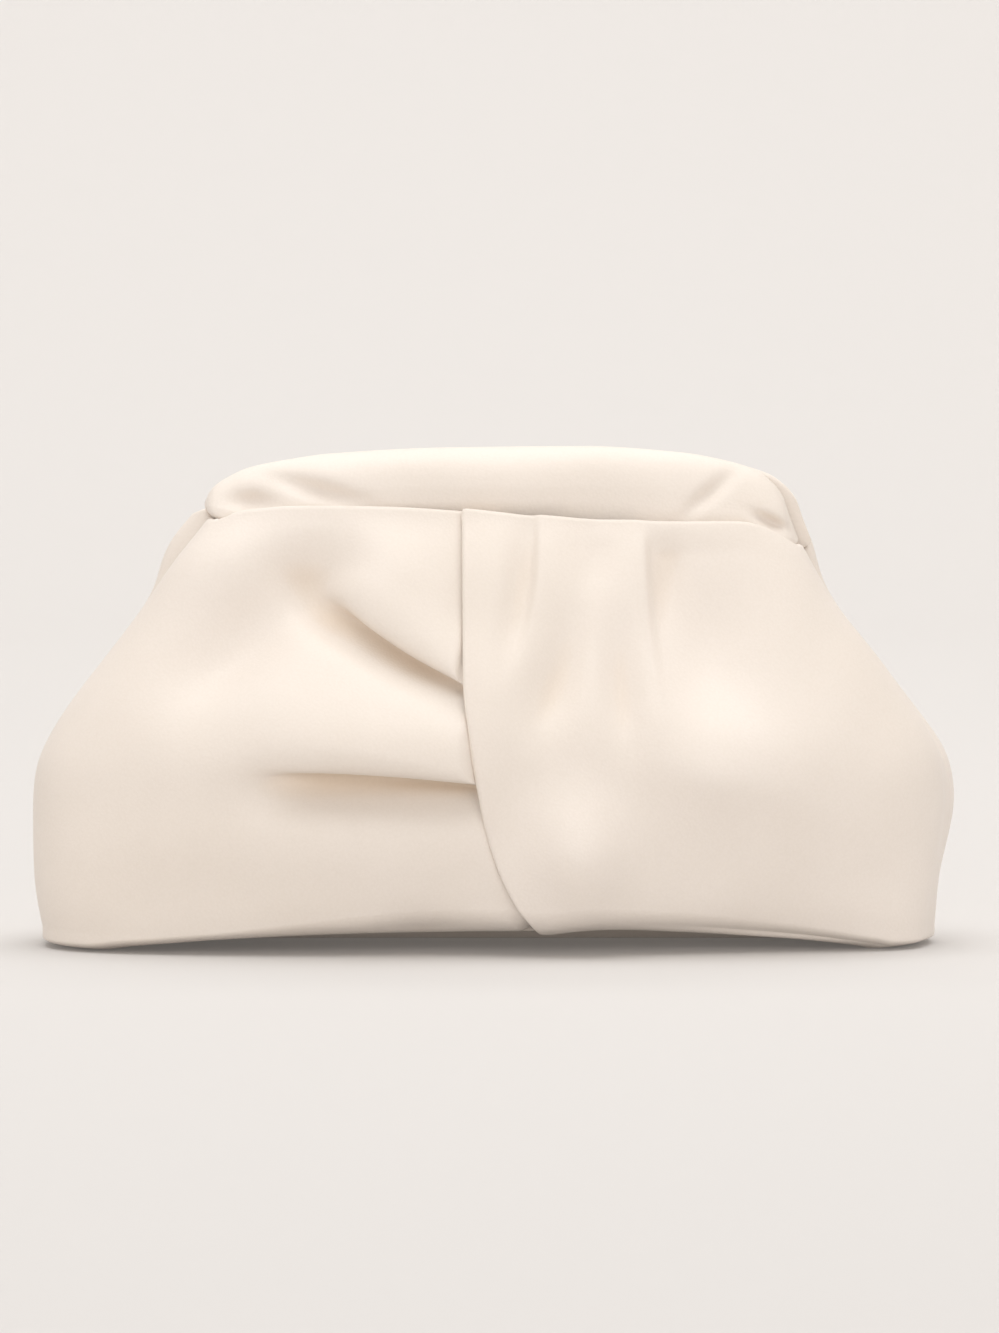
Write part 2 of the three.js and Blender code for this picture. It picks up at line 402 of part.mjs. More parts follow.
// A wall of the pouch: columns by distance along the plan sections, rows from the end of
// the turn under the bag up to the top edge.
function wall({ fromAngle, toAngle, columns, rows, lap, topOf, reach, relief, below = () => 0, facing }) {
  const walk = Math.sign(toAngle - fromAngle);
  const shares = Array.from({ length: columns + 1 }, (_, i) => {
    const f = i / columns;
    if (lap) return f ** SEAM_CROWD;
    return f < 0.5 ? 0.5 * (2 * f) ** SEAM_CROWD : 1 - 0.5 * (2 - 2 * f) ** SEAM_CROWD;
  });
  const lapSteps = lap ? Array.from({ length: lap.columns }, (_, i) => (lap.width * (i + 1)) / lap.columns) : [];

  // Point of column i on the plan section at height z; the lap edge is taken at height edgeZ.
  const place = (z, i, edgeZ = z) => {
    const points = outline(z, fromAngle, toAngle);
    const whole = points[points.length - 1].run;
    const end = lap ? runAtX(points, lapEdge(edgeZ)) : whole - GAP / 2;
    const run = i < shares.length ? lerp(GAP / 2, end, shares[i]) : runAtX(points, lapEdge(edgeZ) + lapSteps[i - shares.length]);
    return along(points, run);
  };

  const grid = Array.from({ length: MESH.turnRows + rows + 1 }, () => []);
  for (let i = 0; i < shares.length + lapSteps.length; i += 1) {
    const start = place(FLOOR_Z + TURN_MID, i);
    const lift = archLift(start.x, start.y);
    const turnUp = turnHeight(start.x);
    const springs = FLOOR_Z + turnUp + lift;
    let top = topOf(0);
    for (let pass = 0; pass < 9; pass += 1) {
      const crest = place(top, i);
      top = 0.5 * (top + Math.min(topOf(crest.x), casingFloor(crest.x, crest.y, reach)));
    }
    for (let j = 0; j < MESH.turnRows; j += 1) {
      const sweep = (Math.PI / 2) * (1 - j / MESH.turnRows);
      const z = FLOOR_Z + lift + turnUp * (1 - Math.sin(sweep));
      const foot = place(springs, i, z);
      const inset = TURN_INSET * (1 - Math.cos(sweep)) * walk;
      grid[j].push(new THREE.Vector3(foot.x + foot.ty * inset, foot.y - foot.tx * inset, z));
    }
    for (let j = 0; j <= rows; j += 1) {
      const z = lerp(springs, top, j / rows);
      const p = place(z, i);
      grid[MESH.turnRows + j].push(new THREE.Vector3(p.x, p.y, z));
    }
  }
  const outward = directions(grid, facing);
  // At the foot the folds push the wall in and out, not up and down.
  const push = outward.map((row) => row.map((d) => new THREE.Vector3(d.x, d.y, Math.max(d.z, 0))));
  const outer = grid.map((row, j) => row.map((p, i) => {
    const down = below(p.x, p.z);
    return p.clone().addScaledVector(push[j][i], relief(p.x, p.z) + down).addScaledVector(outward[j][i], -down);
  }));
  return shell(outer, outward.map((row) => row.map((d) => d.clone().negate())));
}

// The underside: flat on the floor but for its raised front, inside the turned-under walls.
function underside() {
  const half = MESH.baseSides / 2;
  const rim = [0, Math.PI].flatMap((from) => Array.from({ length: half }, (_, i) => {
    const place = (z) => {
      const points = outline(z, from, from + Math.PI);
      return along(points, (points[points.length - 1].run * i) / half);
    };
    const start = place(FLOOR_Z + TURN_MID);
    const p = place(FLOOR_Z + turnHeight(start.x) + archLift(start.x, start.y));
    return new THREE.Vector2(p.x + p.ty * (TURN_INSET + 1.5 * GAP), p.y - p.tx * (TURN_INSET + 1.5 * GAP));
  }));
  const positions = [];
  const index = [];
  for (const layer of [0, WALL]) {
    for (const share of BASE_RING) for (const p of rim) positions.push(p.x * share, p.y * share, FLOOR_Z + archLift(p.x * share, p.y * share) + layer);
    positions.push(0, 0, FLOOR_Z + archLift(0, 0) + layer);
  }
  const n = MESH.baseSides;
  const perLayer = n * BASE_RING.length + 1;
  for (const layer of [0, 1]) {
    const face = (a, b, c) => (layer ? index.push(a, b, c) : index.push(a, c, b));
    const at = (ring, i) => layer * perLayer + ring * n + (i % n);
    for (let i = 0; i < n; i += 1) {
      for (let ring = 0; ring < BASE_RING.length - 1; ring += 1) {
        face(at(ring, i), at(ring, i + 1), at(ring + 1, i + 1));
        face(at(ring, i), at(ring + 1, i + 1), at(ring + 1, i));
      }
      face(at(BASE_RING.length - 1, i), at(BASE_RING.length - 1, i + 1), (layer + 1) * perLayer - 1);
    }
  }
  for (let i = 0; i < n; i += 1) {
    const j = (i + 1) % n;
    index.push(i, j, perLayer + j, i, perLayer + j, perLayer + i);
  }
  return facingOut(positions, index);
}

// One half of the padded frame casing; side is -1 for the front half and 1 for the back.
function casing(side, drop, reach) {
  const first = ROLL[0].x;
  const last = ROLL[ROLL.length - 1].x;
  const positions = [];
  const index = [];
  const ring = ROLL_PROFILE.length + 2;
  for (let s = 0; s <= MESH.rollStations; s += 1) {
    const share = s / MESH.rollStations;
    const x = lerp(lerp(first, last, share), lerp(first, last, 0.5 - 0.5 * Math.cos(Math.PI * share)), ROLL_CROWD);
    const top = rollOf.top(x) - drop;
    const bottom = rollOf.bottom(x);
    const thick = rollOf.thick(x);
    const toEnd = smooth(Math.abs(x), ...ROLL_NECK[x < 0 ? "left" : "right"]);
    const placed = x + reach.right * smooth(x, REACH_FROM, last) - reach.left * smooth(-x, REACH_FROM, -first);
    for (const row of ROLL_PROFILE) {
      positions.push(placed, side * (ROLL_PART + thick * lerp(row.out, row.endOut, toEnd)), lerp(bottom, top, row.up));
    }
    positions.push(placed, side * ROLL_PART, lerp(bottom, top, ROLL_CREST), placed, side * ROLL_PART, lerp(top, bottom, ROLL_CREST));
  }
  for (let s = 0; s < MESH.rollStations; s += 1) {
    for (let i = 0; i < ring; i += 1) {
      const a = s * ring + i;
      const b = s * ring + ((i + 1) % ring);
      index.push(a, b, b + ring, a, b + ring, a + ring);
    }
  }
  for (const end of [0, MESH.rollStations * ring]) {
    for (let i = 1; i < ring - 1; i += 1) {
      if (end === 0) index.push(0, i + 1, i);
      else index.push(end, end + i, end + i + 1);
    }
  }
  return facingOut(positions, index);
}

// ---------------------------------------------------------------- the bag
const LEATHER = { color: 0xeee0cf, roughness: 0.48, metalness: 0 };

const pieces = {
  front_left_panel: wall({
    fromAngle: Math.PI, toAngle: 0, columns: MESH.panelColumns, rows: MESH.panelRows, facing: 1,
    lap: { width: UNDERLAP, columns: MESH.lapColumns }, topOf: frontTop, reach: FRONT_REACH, relief: leftRelief, below: tucked,
  }),
  front_right_panel: wall({
    fromAngle: 0, toAngle: Math.PI, columns: MESH.panelColumns, rows: MESH.panelRows, facing: -1,
    lap: { width: 0, columns: 0 }, topOf: frontTop, reach: FRONT_REACH, relief: (x, z) => reliefOf("right", x, z),
  }),
  back_panel: wall({
    fromAngle: Math.PI, toAngle: 2 * Math.PI, columns: MESH.backColumns, rows: MESH.backRows, facing: -1,
    topOf: backTop, reach: BACK_REACH, relief: (x, z) => reliefOf("back", x, z),
  }),
  base_panel: underside(),
  front_frame_roll: casing(-1, 0, FRONT_REACH),
  back_frame_roll: casing(1, BACK_ROLL_DROP, BACK_REACH),
};

const bag = new THREE.Group();
bag.name = "clutch_bag";
for (const [name, geometry] of Object.entries(pieces)) {
  const mesh = new THREE.Mesh(geometry, new THREE.MeshStandardMaterial(LEATHER));
  mesh.name = name;
  bag.add(mesh);
}
export default bag;
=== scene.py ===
"""Ruched frame-top clutch bag in cream leather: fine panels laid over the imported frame.

The front, back, underside and frame casings are built as closed leather shells. One table of plan
sections gives the pouch, tables of folds, bulges and dents give the gathers, and the tucks are real
overlapping folds of the sheet. Lengths are in millimetres in the tables and in metres in the scene.
"""
import math
import bpy
import numpy as np
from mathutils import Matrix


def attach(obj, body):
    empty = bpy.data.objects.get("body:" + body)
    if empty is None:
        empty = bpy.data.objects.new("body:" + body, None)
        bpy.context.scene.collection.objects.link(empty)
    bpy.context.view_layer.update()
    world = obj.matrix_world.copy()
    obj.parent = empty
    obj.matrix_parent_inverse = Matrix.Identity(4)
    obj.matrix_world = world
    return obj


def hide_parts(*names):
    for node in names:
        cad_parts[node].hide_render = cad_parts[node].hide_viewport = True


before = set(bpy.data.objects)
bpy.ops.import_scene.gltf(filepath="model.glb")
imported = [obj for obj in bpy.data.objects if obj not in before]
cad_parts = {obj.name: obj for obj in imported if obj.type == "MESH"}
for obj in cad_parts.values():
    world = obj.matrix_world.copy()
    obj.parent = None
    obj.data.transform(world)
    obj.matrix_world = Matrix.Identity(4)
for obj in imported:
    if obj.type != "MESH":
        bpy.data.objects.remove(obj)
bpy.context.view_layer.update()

MM = 0.001

# ------------------------------------------------------------------ driving sizes (mm)
WALL = 1.6             # leather with its backing
HEM = 1.3              # extra thickness of the turned top edges
HEM_RISE = 1.2         # the rounded hem stands this far above the last row of the front
LAP_HEM = 0.5          # the same along the lap
GAP = 0.5              # clearance between neighbouring pieces
SHIFT_Y = 5.0          # puts the middle of the depth on the origin
FLOOR_Z = 1.5          # height of the floor in the tables' own z

TURN_MID = 9.5         # height of the soft turn at the foot of the walls, at mid-width
TURN_END = 3.2         # and at the ends
TURN_LEFT = (8, 100)    # between these distances from the middle the turn comes down
TURN_RIGHT = (36, 146)
SEAM_CALM = 14.0       # the gathers die out this near to the side seams
TURN_INSET = 17.0
ARCH_FRONT = 0.0       # the raised front of the underside comes down to the floor between these depths
ARCH_BACK = 16.0
RIM_SLANT = 0.6        # the panels' upper rim slants down by this towards the inside
SECTION_SOFT = 4.0     # the pouch form is eased over this height

GROOVE_REACH = 4.6     # half-width, in depth, of the groove down each side
SIDE_BLEND = 9.0

UNDERLAP = 12.0        # the left panel runs on this far under the right one
LAP_CLEAR = 1.2
LAP_LIFT = 3.0         # the lapping panel stands proud by this along its edge
LAP_LIFT_REACH = 34.0
LAP_RISE = 1.3
LAP_COMES = 8.0        # the left panel begins to go under at this distance from the edge
TIP_DROP = 1.2         # the lower corner of the lap hangs below the edge beside it
TIP_X = 16.5
TIP_REACH = 8.0
TOP_HOLD = 9.0         # hollows die out over this depth below the sewn top edge

ROLL_PART = 0.35
ROLL_NECK_LEFT = (52.0, 76.0)    # the casing's hollow lower face fades out between these, left of the middle
ROLL_NECK_RIGHT = (8.0, 80.0)
BACK_ROLL_DROP = 1.0
FRONT_REACH = (0.0, 0.0)
BACK_REACH = (0.6, 4.6)          # the back casing runs on this far beyond the front one, left and right

# ------------------------------------------------------------------ tables
SECTION_COLUMNS = ("z", "left_front", "right_front", "left_back", "right_back", "front", "back", "square", "groove")
SECTIONS = [
    (8, 147.2, 144.6, 147.2, 144.8, 47.0, 44.6, 3.2, 0.0),
    (14, 148.6, 145.0, 148.6, 145.4, 48.2, 46.2, 3.1, 0.0),
    (24, 150.0, 145.4, 150.0, 146.8, 49.8, 48.0, 2.9, 0.0),
    (36, 150.4, 146.5, 150.6, 149.8, 51.4, 49.6, 2.8, 0.0),
    (49, 150.4, 147.5, 150.6, 152.0, 52.7, 50.4, 2.7, 0.0),
    (60, 149.2, 147.0, 149.4, 150.6, 53.0, 49.6, 2.7, 0.5),
    (70, 144.8, 143.5, 145.0, 145.6, 51.4, 47.4, 2.7, 1.5),
    (82, 137.2, 135.8, 137.4, 136.8, 47.4, 43.6, 2.8, 3.0),
    (95, 127.3, 126.3, 127.6, 126.8, 41.7, 38.6, 3.0, 5.0),
    (108, 117.2, 115.8, 117.8, 116.5, 35.4, 33.0, 3.4, 6.5),
    (118, 109.6, 108.6, 111.2, 109.6, 31.2, 28.6, 3.9, 7.5),
    (127, 103.4, 103.8, 109.2, 106.7, 26.8, 24.0, 4.6, 8.2),
    (135, 97.0, 99.3, 105.6, 104.4, 21.8, 19.6, 5.4, 8.8),
    (142, 91.8, 95.0, 98.6, 101.2, 17.1, 16.5, 6.0, 9.0),
    (148, 88.0, 91.0, 94.0, 98.0, 15.9, 15.9, 6.0, 9.0),
]
FRONT_TOP = [(-92, 141.5), (-78, 144.7), (-62, 145.7), (-36, 145.4), (-10, 144.0), (14, 142.0), (48, 141.3), (67, 140.9), (80, 140.8), (87, 139.6), (95, 135.8), (99, 133.2)]
BACK_TOP = [(-99, 141.6), (-94, 143.4), (-80, 144.6), (0, 144.0), (66, 142.4), (84, 141.6), (92, 139.6), (99.6, 135.6), (104, 132.8)]
ARCH = [(-150, 0.0), (-134, 0.0), (-122, 1.4), (-108, 2.7), (-93, 4.0), (-66, 5.5), (-45, 6.3), (-25, 6.7), (0, 7.1), (20, 7.1), (38, 7.5), (59, 6.7), (80, 5.3), (98, 3.9), (112, 2.4), (122, 1.2), (131, 0.0), (150, 0.0)]
LAP_EDGE = [(2, 21.6), (8.5, 16.2), (19, 7.9), (37, 0.2), (57, -4.0), (70, -6.3), (88, -8.5), (148, -9.1)]

# Folds of the walls along lines of (x, z). Heights out of the form to the right and to the left of the line,
# how far they reach, how sharply one turns into the other, what is left of the fold at either end and over which
# shares of its length it comes and goes, and how far the sheet laps over itself there.
FOLD_COLUMNS = ("panel", "name", "right_height", "right_reach", "left_height", "left_reach", "soft_start", "soft_end", "keep_start", "keep_end", "fade_in", "fade_out", "lap", "lap_width", "line")
UPPER_TUCK = [(8, 79.6), (-4, 86), (-9.8, 89.4), (-20.6, 96.3), (-31, 102.9), (-41.2, 109.9), (-50.6, 117.5), (-60, 126)]
LOWER_TUCK = [(10, 54.6), (-2, 56.4), (-5.7, 57.2), (-24.6, 59.2), (-45.5, 60.6), (-60, 60.9), (-73, 60.3), (-86, 57)]
FOLDS = [
    ("left", "upper lip", 3.2, 14, 0, 8, 3.0, 13.0, 0.7, 0.0, 0.3, 0.34, 3.8, 3.8, UPPER_TUCK),
    ("left", "upper hollow", 0, 8, -7.8, 10, 2.6, 13.0, 0.45, 0.0, 0.4, 0.34, 0.0, 3.4, UPPER_TUCK),
    ("left", "upper shadow", -4.8, 7.0, -4.8, 7.0, 1.0, 1.0, 0.15, 0.5, 0.35, 0.3, 0.0, 3.0, [(-8, 86.4), (-20, 93), (-31, 99.2), (-42, 106.4), (-53, 114.8), (-60, 123)]),
    ("left", "lower lip", 11.0, 21, 0, 8, 2.8, 14.0, 0.6, 0.0, 0.3, 0.3, 3.2, 4.8, LOWER_TUCK),
    ("left", "lower hollow", 0, 8, -6.4, 9, 2.4, 14.0, 0.6, 0.0, 0.4, 0.32, 0.0, 3.6, LOWER_TUCK),
    ("left", "lower shadow", -7.0, 8.0, -7.0, 8.0, 1.0, 1.0, 0.6, 0.0, 0.4, 0.36, 0.0, 3.0, [(-2, 56.2), (-16, 56.8), (-30, 57), (-46, 56.8), (-62, 56.2), (-84, 54.4)]),
    ("left", "left knee", 1.5, 20, 1.5, 13, 9.0, 9.0, 0.0, 0.0, 0.35, 0.5, 0.0, 3.0, [(-64, 67), (-84, 69), (-98, 70), (-113, 75), (-132, 78)]),
    ("left", "shoulder dent", -10.5, 13, -10.5, 13, 1.0, 1.0, 0.1, 0.7, 0.6, 0.3, 0.0, 3.0, [(-112, 76), (-95, 91), (-80, 104), (-68, 115), (-56, 120)]),
    ("right", "margin valley", -2.5, 5, -2.5, 5, 1.0, 1.0, 0.3, 0.0, 0.3, 0.5, 0.0, 3.0, [(11.5, 139), (10, 130), (8.6, 118.8), (4.5, 100), (0, 86)]),
    ("right", "pleat edge left", -0.4, 7, 1.4, 10, 2.0, 3.5, 0.5, 0.0, 0.12, 0.75, 0.4, 2.2, [(14.1, 142.6), (13.1, 121), (9.9, 104), (4.7, 89.6), (0, 80)]),
    ("right", "pleat edge right", 1.3, 7, -0.7, 10, 2.0, 3.5, 0.5, 0.0, 0.12, 0.75, 0.4, 2.2, [(49.4, 142), (51.4, 110.5), (55.2, 83.3), (59, 71)]),
    ("right", "pleat hollow left", -5.0, 7.5, -5.0, 7.5, 1.0, 1.0, 0.0, 0.0, 0.6, 0.4, 0.0, 3.0, [(30, 130), (27.6, 116), (24, 101), (18, 84), (10, 62)]),
    ("right", "pleat hollow right", -4.2, 6.5, -4.2, 6.5, 1.0, 1.0, 0.0, 0.0, 0.5, 0.35, 0.0, 3.0, [(38.6, 121), (39.8, 107), (41.4, 86), (44, 63)]),
    ("right", "side hollow", -7.2, 17, -7.2, 17, 1.0, 1.0, 0.1, 0.0, 0.3, 0.36, 0.0, 3.0, [(65, 137), (66, 122), (69, 102), (73, 73)]),
    ("right", "right knee", 5.6, 13, 5.6, 22, 9.0, 9.0, 0.0, 0.0, 0.25, 0.75, 0.0, 3.0, [(46, 72), (57, 66.8), (69.5, 62), (84, 59.4), (100, 53.6), (114, 44.6), (132, 29)]),
    ("right", "tongue", 18.5, 13, 18.5, 13, 1.6, 1.6, 0.0, 0.0, 1.6, 0.16, 0.0, 3.0, [(20.4, 80), (22.6, 65), (25.6, 49), (28.5, 36), (32, 16)]),
    ("back", "outer slack left", -2.8, 11, -2.8, 11, 1.0, 1.0, 0.6, 0.0, 0.3, 0.7, 0.0, 3.0, [(-60, 143), (-64, 118), (-78, 88)]),
    ("back", "inner slack left", -2.2, 8, -2.2, 8, 1.0, 1.0, 0.6, 0.0, 0.3, 0.7, 0.0, 3.0, [(-22, 143), (-23, 122), (-28, 98)]),
    ("back", "inner slack right", -2.4, 8, -2.4, 8, 1.0, 1.0, 0.6, 0.0, 0.3, 0.7, 0.0, 3.0, [(14, 143), (16, 120), (23, 92)]),
    ("back", "outer slack right", -2.8, 11, -2.8, 11, 1.0, 1.0, 0.6, 0.0, 0.3, 0.7, 0.0, 3.0, [(50, 142), (56, 116), (72, 86)]),
]

BULGE_COLUMNS = ("panel", "name", "x", "z", "along", "across", "lean", "height")
BULGES = [
    ("left", "band between the tucks", -52, 84, 40, 12, 8, 1.6),
    ("left", "shoulder", -82, 128, 26, 9, 20, 2.0),
    ("left", "low belly", -50, 36, 50, 12, 0, 1.6),
    ("left", "foot tuck", -22, 5, 14, 9.5, 0, -6.0),
    ("left", "dent core", -58.5, 127.4, 15, 8.2, 4, -7.4),
    ("left", "head of the upper tuck", -55, 112.5, 11, 7.5, -40, -3.6),
    ("left", "swell above the upper tuck", -36, 130, 18, 9, -36, 1.2),
    ("right", "box middle", 33, 127, 11, 8, 90, -2.0),
    ("right", "right pouf", 83, 68, 25, 13, -12, 1.0),
    ("right", "hollow beside the pleat", 56, 125, 17, 6, 86, -3.2),
    ("right", "lap margin", -2, 82, 34, 8, 80, 1.4),
    ("right", "low hollow", 98, 7, 46, 30, -8, -7.0),
    ("right", "root of the tongue", 24.5, 33, 20, 13, 0, 2.6),
    ("right", "hollow above the tongue", 21, 60, 20, 12, 0, -3.2),
    ("back", "belly", 4, 58, 80, 26, 0, 2.4),
    ("right", "hollow left of the tongue", 4, 40, 20, 9, 75, -2.0),
    ("right", "foot hollow", 66, 4, 46, 9.5, 0, -3.2),
]

ROLL_COLUMNS = ("x", "top", "bottom", "thick")
ROLL = [
    (-93.4, 147.2, 144.0, 5.8), (-92.6, 149.0, 142.6, 9.0), (-90.6, 151.4, 140.6, 11.4), (-86.7, 154.0, 138.0, 12.6), (-79, 157.4, 135.6, 13.0),
    (-66, 160.0, 133.6, 13.4), (-53, 161.8, 132.6, 13.6), (-14, 163.8, 131.6, 13.6), (30, 164.2, 131.0, 13.6), (61, 162.2, 131.6, 13.6),
    (78, 159.0, 132.2, 13.5), (86, 156.2, 131.8, 13.2), (91, 152.4, 131.2, 12.6), (94.4, 148.0, 130.6, 11.4), (96.6, 141.8, 130.8, 9.4), (98.2, 137.6, 131.8, 6.6), (99.2, 135.0, 132.6, 3.6),
]
ROLL_PROFILE_COLUMNS = ("up", "out", "end_out")
ROLL_PROFILE = [
    (0.0, 0.28, 0.55), (0.07, 0.64, 0.88), (0.20, 0.86, 1.0), (0.34, 0.94, 0.985), (0.46, 0.98, 0.92), (0.58, 0.98, 0.845),
    (0.70, 0.93, 0.75), (0.82, 0.81, 0.62), (0.92, 0.60, 0.46), (0.98, 0.36, 0.30), (1.0, 0.16, 0.15),
]
# Dents and creases of the front casing as seen from the front: middle, half-sizes, lean, depth.
DENT_COLUMNS = ("x", "z", "along", "across", "lean", "depth")
DENTS = [
    (-78.2, 146.2, 7.0, 3.4, -4, 4.0),
    (-56, 149.8, 13.0, 2.9, -14, 4.4),
    (70, 148.6, 9.0, 2.6, 40, 2.8),
    (90.4, 139.4, 6.0, 2.0, -26, 4.6),
]


# ------------------------------------------------------------------ small helpers
def rows(table, names):
    return [dict(zip(names, row)) for row in table]


def curve(xs, ys):
    """A smooth curve through points that never overshoots them."""
    xs, ys = np.asarray(xs, float), np.asarray(ys, float)
    step = np.diff(xs)
    rise = np.diff(ys) / step
    slope = np.empty_like(ys)
    slope[0], slope[-1] = rise[0], rise[-1]
    a, b = rise[:-1], rise[1:]
    with np.errstate(divide="ignore", invalid="ignore"):
        slope[1:-1] = np.where(a * b <= 0, 0.0, 2 * a * b / (a + b))

    def at(t):
        t = np.clip(np.asarray(t, float), xs[0], xs[-1])
        i = np.clip(np.searchsorted(xs, t, side="right") - 1, 0, len(xs) - 2)
        h = step[i]
        s = (t - xs[i]) / h
        return ((2 * s**3 - 3 * s**2 + 1) * ys[i] + (s**3 - 2 * s**2 + s) * h * slope[i]
                + (3 * s**2 - 2 * s**3) * ys[i + 1] + (s**3 - s**2) * h * slope[i + 1])
    return at


def eased(xs, ys, soft):
    """The same curve with its bends eased over a distance; its two ends stay put."""
    at = curve(xs, ys)
    t = np.linspace(xs[0], xs[-1], 281)
    v = at(t)
    reach = int(round(3 * soft / (t[1] - t[0])))
    v = np.concatenate([2 * v[0] - v[reach:0:-1], v, 2 * v[-1] - v[-2:-reach - 2:-1]])
    k = np.exp(-0.5 * (np.arange(-reach, reach + 1) * (t[1] - t[0]) / soft) ** 2)
    return curve(t[::4], np.convolve(v, k / k.sum(), mode="valid")[::4])


def smooth(t, lo, hi):
    s = np.clip((np.asarray(t, float) - lo) / (hi - lo), 0, 1)
    return s * s * (3 - 2 * s)


def lerp(a, b, t):
    return a + (b - a) * t


def bell(t):
    return np.exp(-t * t)


_sec = np.array(SECTIONS, float)
section = {name: eased(_sec[:, 0], _sec[:, i], SECTION_SOFT) for i, name in enumerate(SECTION_COLUMNS) if i}
front_top = curve([x for x, _ in FRONT_TOP], [z - HEM_RISE for _, z in FRONT_TOP])
back_top = curve(*zip(*BACK_TOP))
arch = curve(*zip(*ARCH))
lap_edge = curve(*zip(*LAP_EDGE))
_roll = np.array(ROLL, float)
roll = {name: curve(_roll[:, 0], _roll[:, i]) for i, name in enumerate(ROLL_COLUMNS) if i}


def arch_lift(x, y):
    """How far the underside stands off the floor: raised along the front, flat behind."""
    return arch(x) * (1 - smooth(y, ARCH_FRONT, ARCH_BACK))


def turn_height(x):
    return lerp(TURN_MID, TURN_END, np.where(np.asarray(x) < 0, smooth(-x, *TURN_LEFT), smooth(x, *TURN_RIGHT)))


# ------------------------------------------------------------------ the pouch form
def outline_xy(angle, z):
    """Point of a plan section: angle 0 is the right side, a quarter turn the front middle."""
    angle, z = np.broadcast_arrays(np.asarray(angle, float), np.asarray(z, float))
    c, s = np.cos(angle), np.sin(angle)
    wide_front = np.where(c > 0, section["right_front"](z), section["left_front"](z))
    wide_back = np.where(c > 0, section["right_back"](z), section["left_back"](z))
    half = lerp(wide_front, wide_back, smooth(-wide_front * s, -SIDE_BLEND, SIDE_BLEND))
    deep = np.where(s > 0, section["front"](z), section["back"](z))
    n = section["square"](z)
    radius = (np.abs(c / half) ** n + np.abs(s / deep) ** n) ** (-1 / n)
    y = -radius * s
    x = radius * c * (1 - section["groove"](z) / half * bell(y / GROOVE_REACH))
    return x, y


LEVELS = np.arange(8.0, 149.5, 1.0)
STEPS = 1200


def runs(angles, z):
    x, y = outline_xy(angles, z)
    run = np.concatenate([[0.0], np.cumsum(np.hypot(np.diff(x), np.diff(y)))])
    return x, y, run


def casing_floor(x, y, reach):
    """How high a wall may rise where it stands under the end of a frame casing."""
    at = x - reach[1] * smooth(x, 55, 97 + reach[1]) + reach[0] * smooth(-x, 55, 93 + reach[0])
    beyond = np.maximum(at - ROLL[-1][0], 0) + np.maximum(ROLL[0][0] - at, 0)
    beside_it = np.abs(y) - ROLL_PART - roll["thick"](at)
    free = smooth(beside_it, 1.5, 3.2) + 1 - smooth(np.abs(at), 78, 86) + smooth(beyond, 0, 2)
    return roll["bottom"](at) - HEM_RISE - GAP + 30 * free


def wall_grid(from_angle, to_angle, columns, up_rows, turn_rows, lap_steps, has_lap, top_of, reach, crowd):
    """Grid of points of the plain form: columns by distance along the sections, rows from below upward."""
    walk = np.sign(to_angle - from_angle)
    angles = np.linspace(from_angle, to_angle, STEPS + 1)
    f = np.linspace(0, 1, columns + 1)
    shares = f**crowd if has_lap else np.where(f < 0.5, 0.5 * (2 * f) ** crowd, 1 - 0.5 * (2 - 2 * f) ** crowd)
    lap_steps = np.asarray(lap_steps, float)
    count = len(shares) + len(lap_steps)

    def targets(x, y, run, edge_z, column=None):
        """Run along a section of every column at one height, or of one column at several heights."""
        if not has_lap:
            all_runs = lerp(GAP / 2, run[-1] - GAP / 2, shares)
            return all_runs if column is None else np.full(len(edge_z), all_runs[column])
        face = np.abs(y) > 2 * GROOVE_REACH
        turn = -walk  # x grows along the walk when the angle falls
        edge = lap_edge(edge_z)
        at = lambda v: np.interp(np.asarray(v) * turn, x[face] * turn, run[face])
        if column is None:
            return np.concatenate([lerp(GAP / 2, at(edge), shares), at(edge + lap_steps)])
        return lerp(GAP / 2, at(edge), shares[column]) if column < len(shares) else at(edge + lap_steps[column - len(shares)])

    table = np.empty((len(LEVELS), count))
    for k, z in enumerate(LEVELS):
        x, y, run = runs(angles, z)
        table[k] = np.interp(targets(x, y, run, z), run, angles)

    level0 = lambda z, tab: np.array([np.interp(z[i], LEVELS, tab[:, i]) for i in range(count)])
    foot_z = np.full(count, FLOOR_Z + TURN_MID)
    foot_x, foot_y = outline_xy(level0(foot_z, table), foot_z)
    lift, turn_up = arch_lift(foot_x, foot_y), turn_height(foot_x)
    top = np.full(count, float(top_of(0.0)))
    for _ in range(9):
        crest_x, crest_y = outline_xy(level0(top, table), top)
        top = 0.5 * (top + np.minimum(top_of(crest_x), casing_floor(crest_x, crest_y, reach)))
    top = np.convolve(np.pad(top, 2, mode="edge"), [0.1, 0.2, 0.4, 0.2, 0.1], mode="valid")

    grid = np.empty((turn_rows + up_rows + 1, count, 3))
    sweep = (math.pi / 2) * (1 - np.arange(turn_rows) / turn_rows)
    inset = TURN_INSET * (1 - np.cos(sweep))
    for i in range(count):
        zs = FLOOR_Z + turn_up[i] + lift[i]
        x, y, run = runs(angles, zs)
        z = FLOOR_Z + lift[i] + turn_up[i] * (1 - np.sin(sweep))
        t = targets(x, y, run, z, i)
        a = np.interp(t, run, angles)
        (xa, xb), (ya, yb) = outline_xy(np.stack([a - 1e-4, a + 1e-4]), zs)
        tx, ty = (xb - xa), (yb - ya)
        size = np.hypot(tx, ty)
        grid[:turn_rows, i] = np.stack([(xa + xb) / 2 + ty / size * inset, (ya + yb) / 2 - tx / size * inset, z], axis=1)
        z = lerp(zs, top[i], np.linspace(0, 1, up_rows + 1))
        a = np.interp(z, LEVELS, table[:, i])
        x, y = outline_xy(a, z)
        grid[turn_rows:, i] = np.stack([x, y, z], axis=1)
    return grid


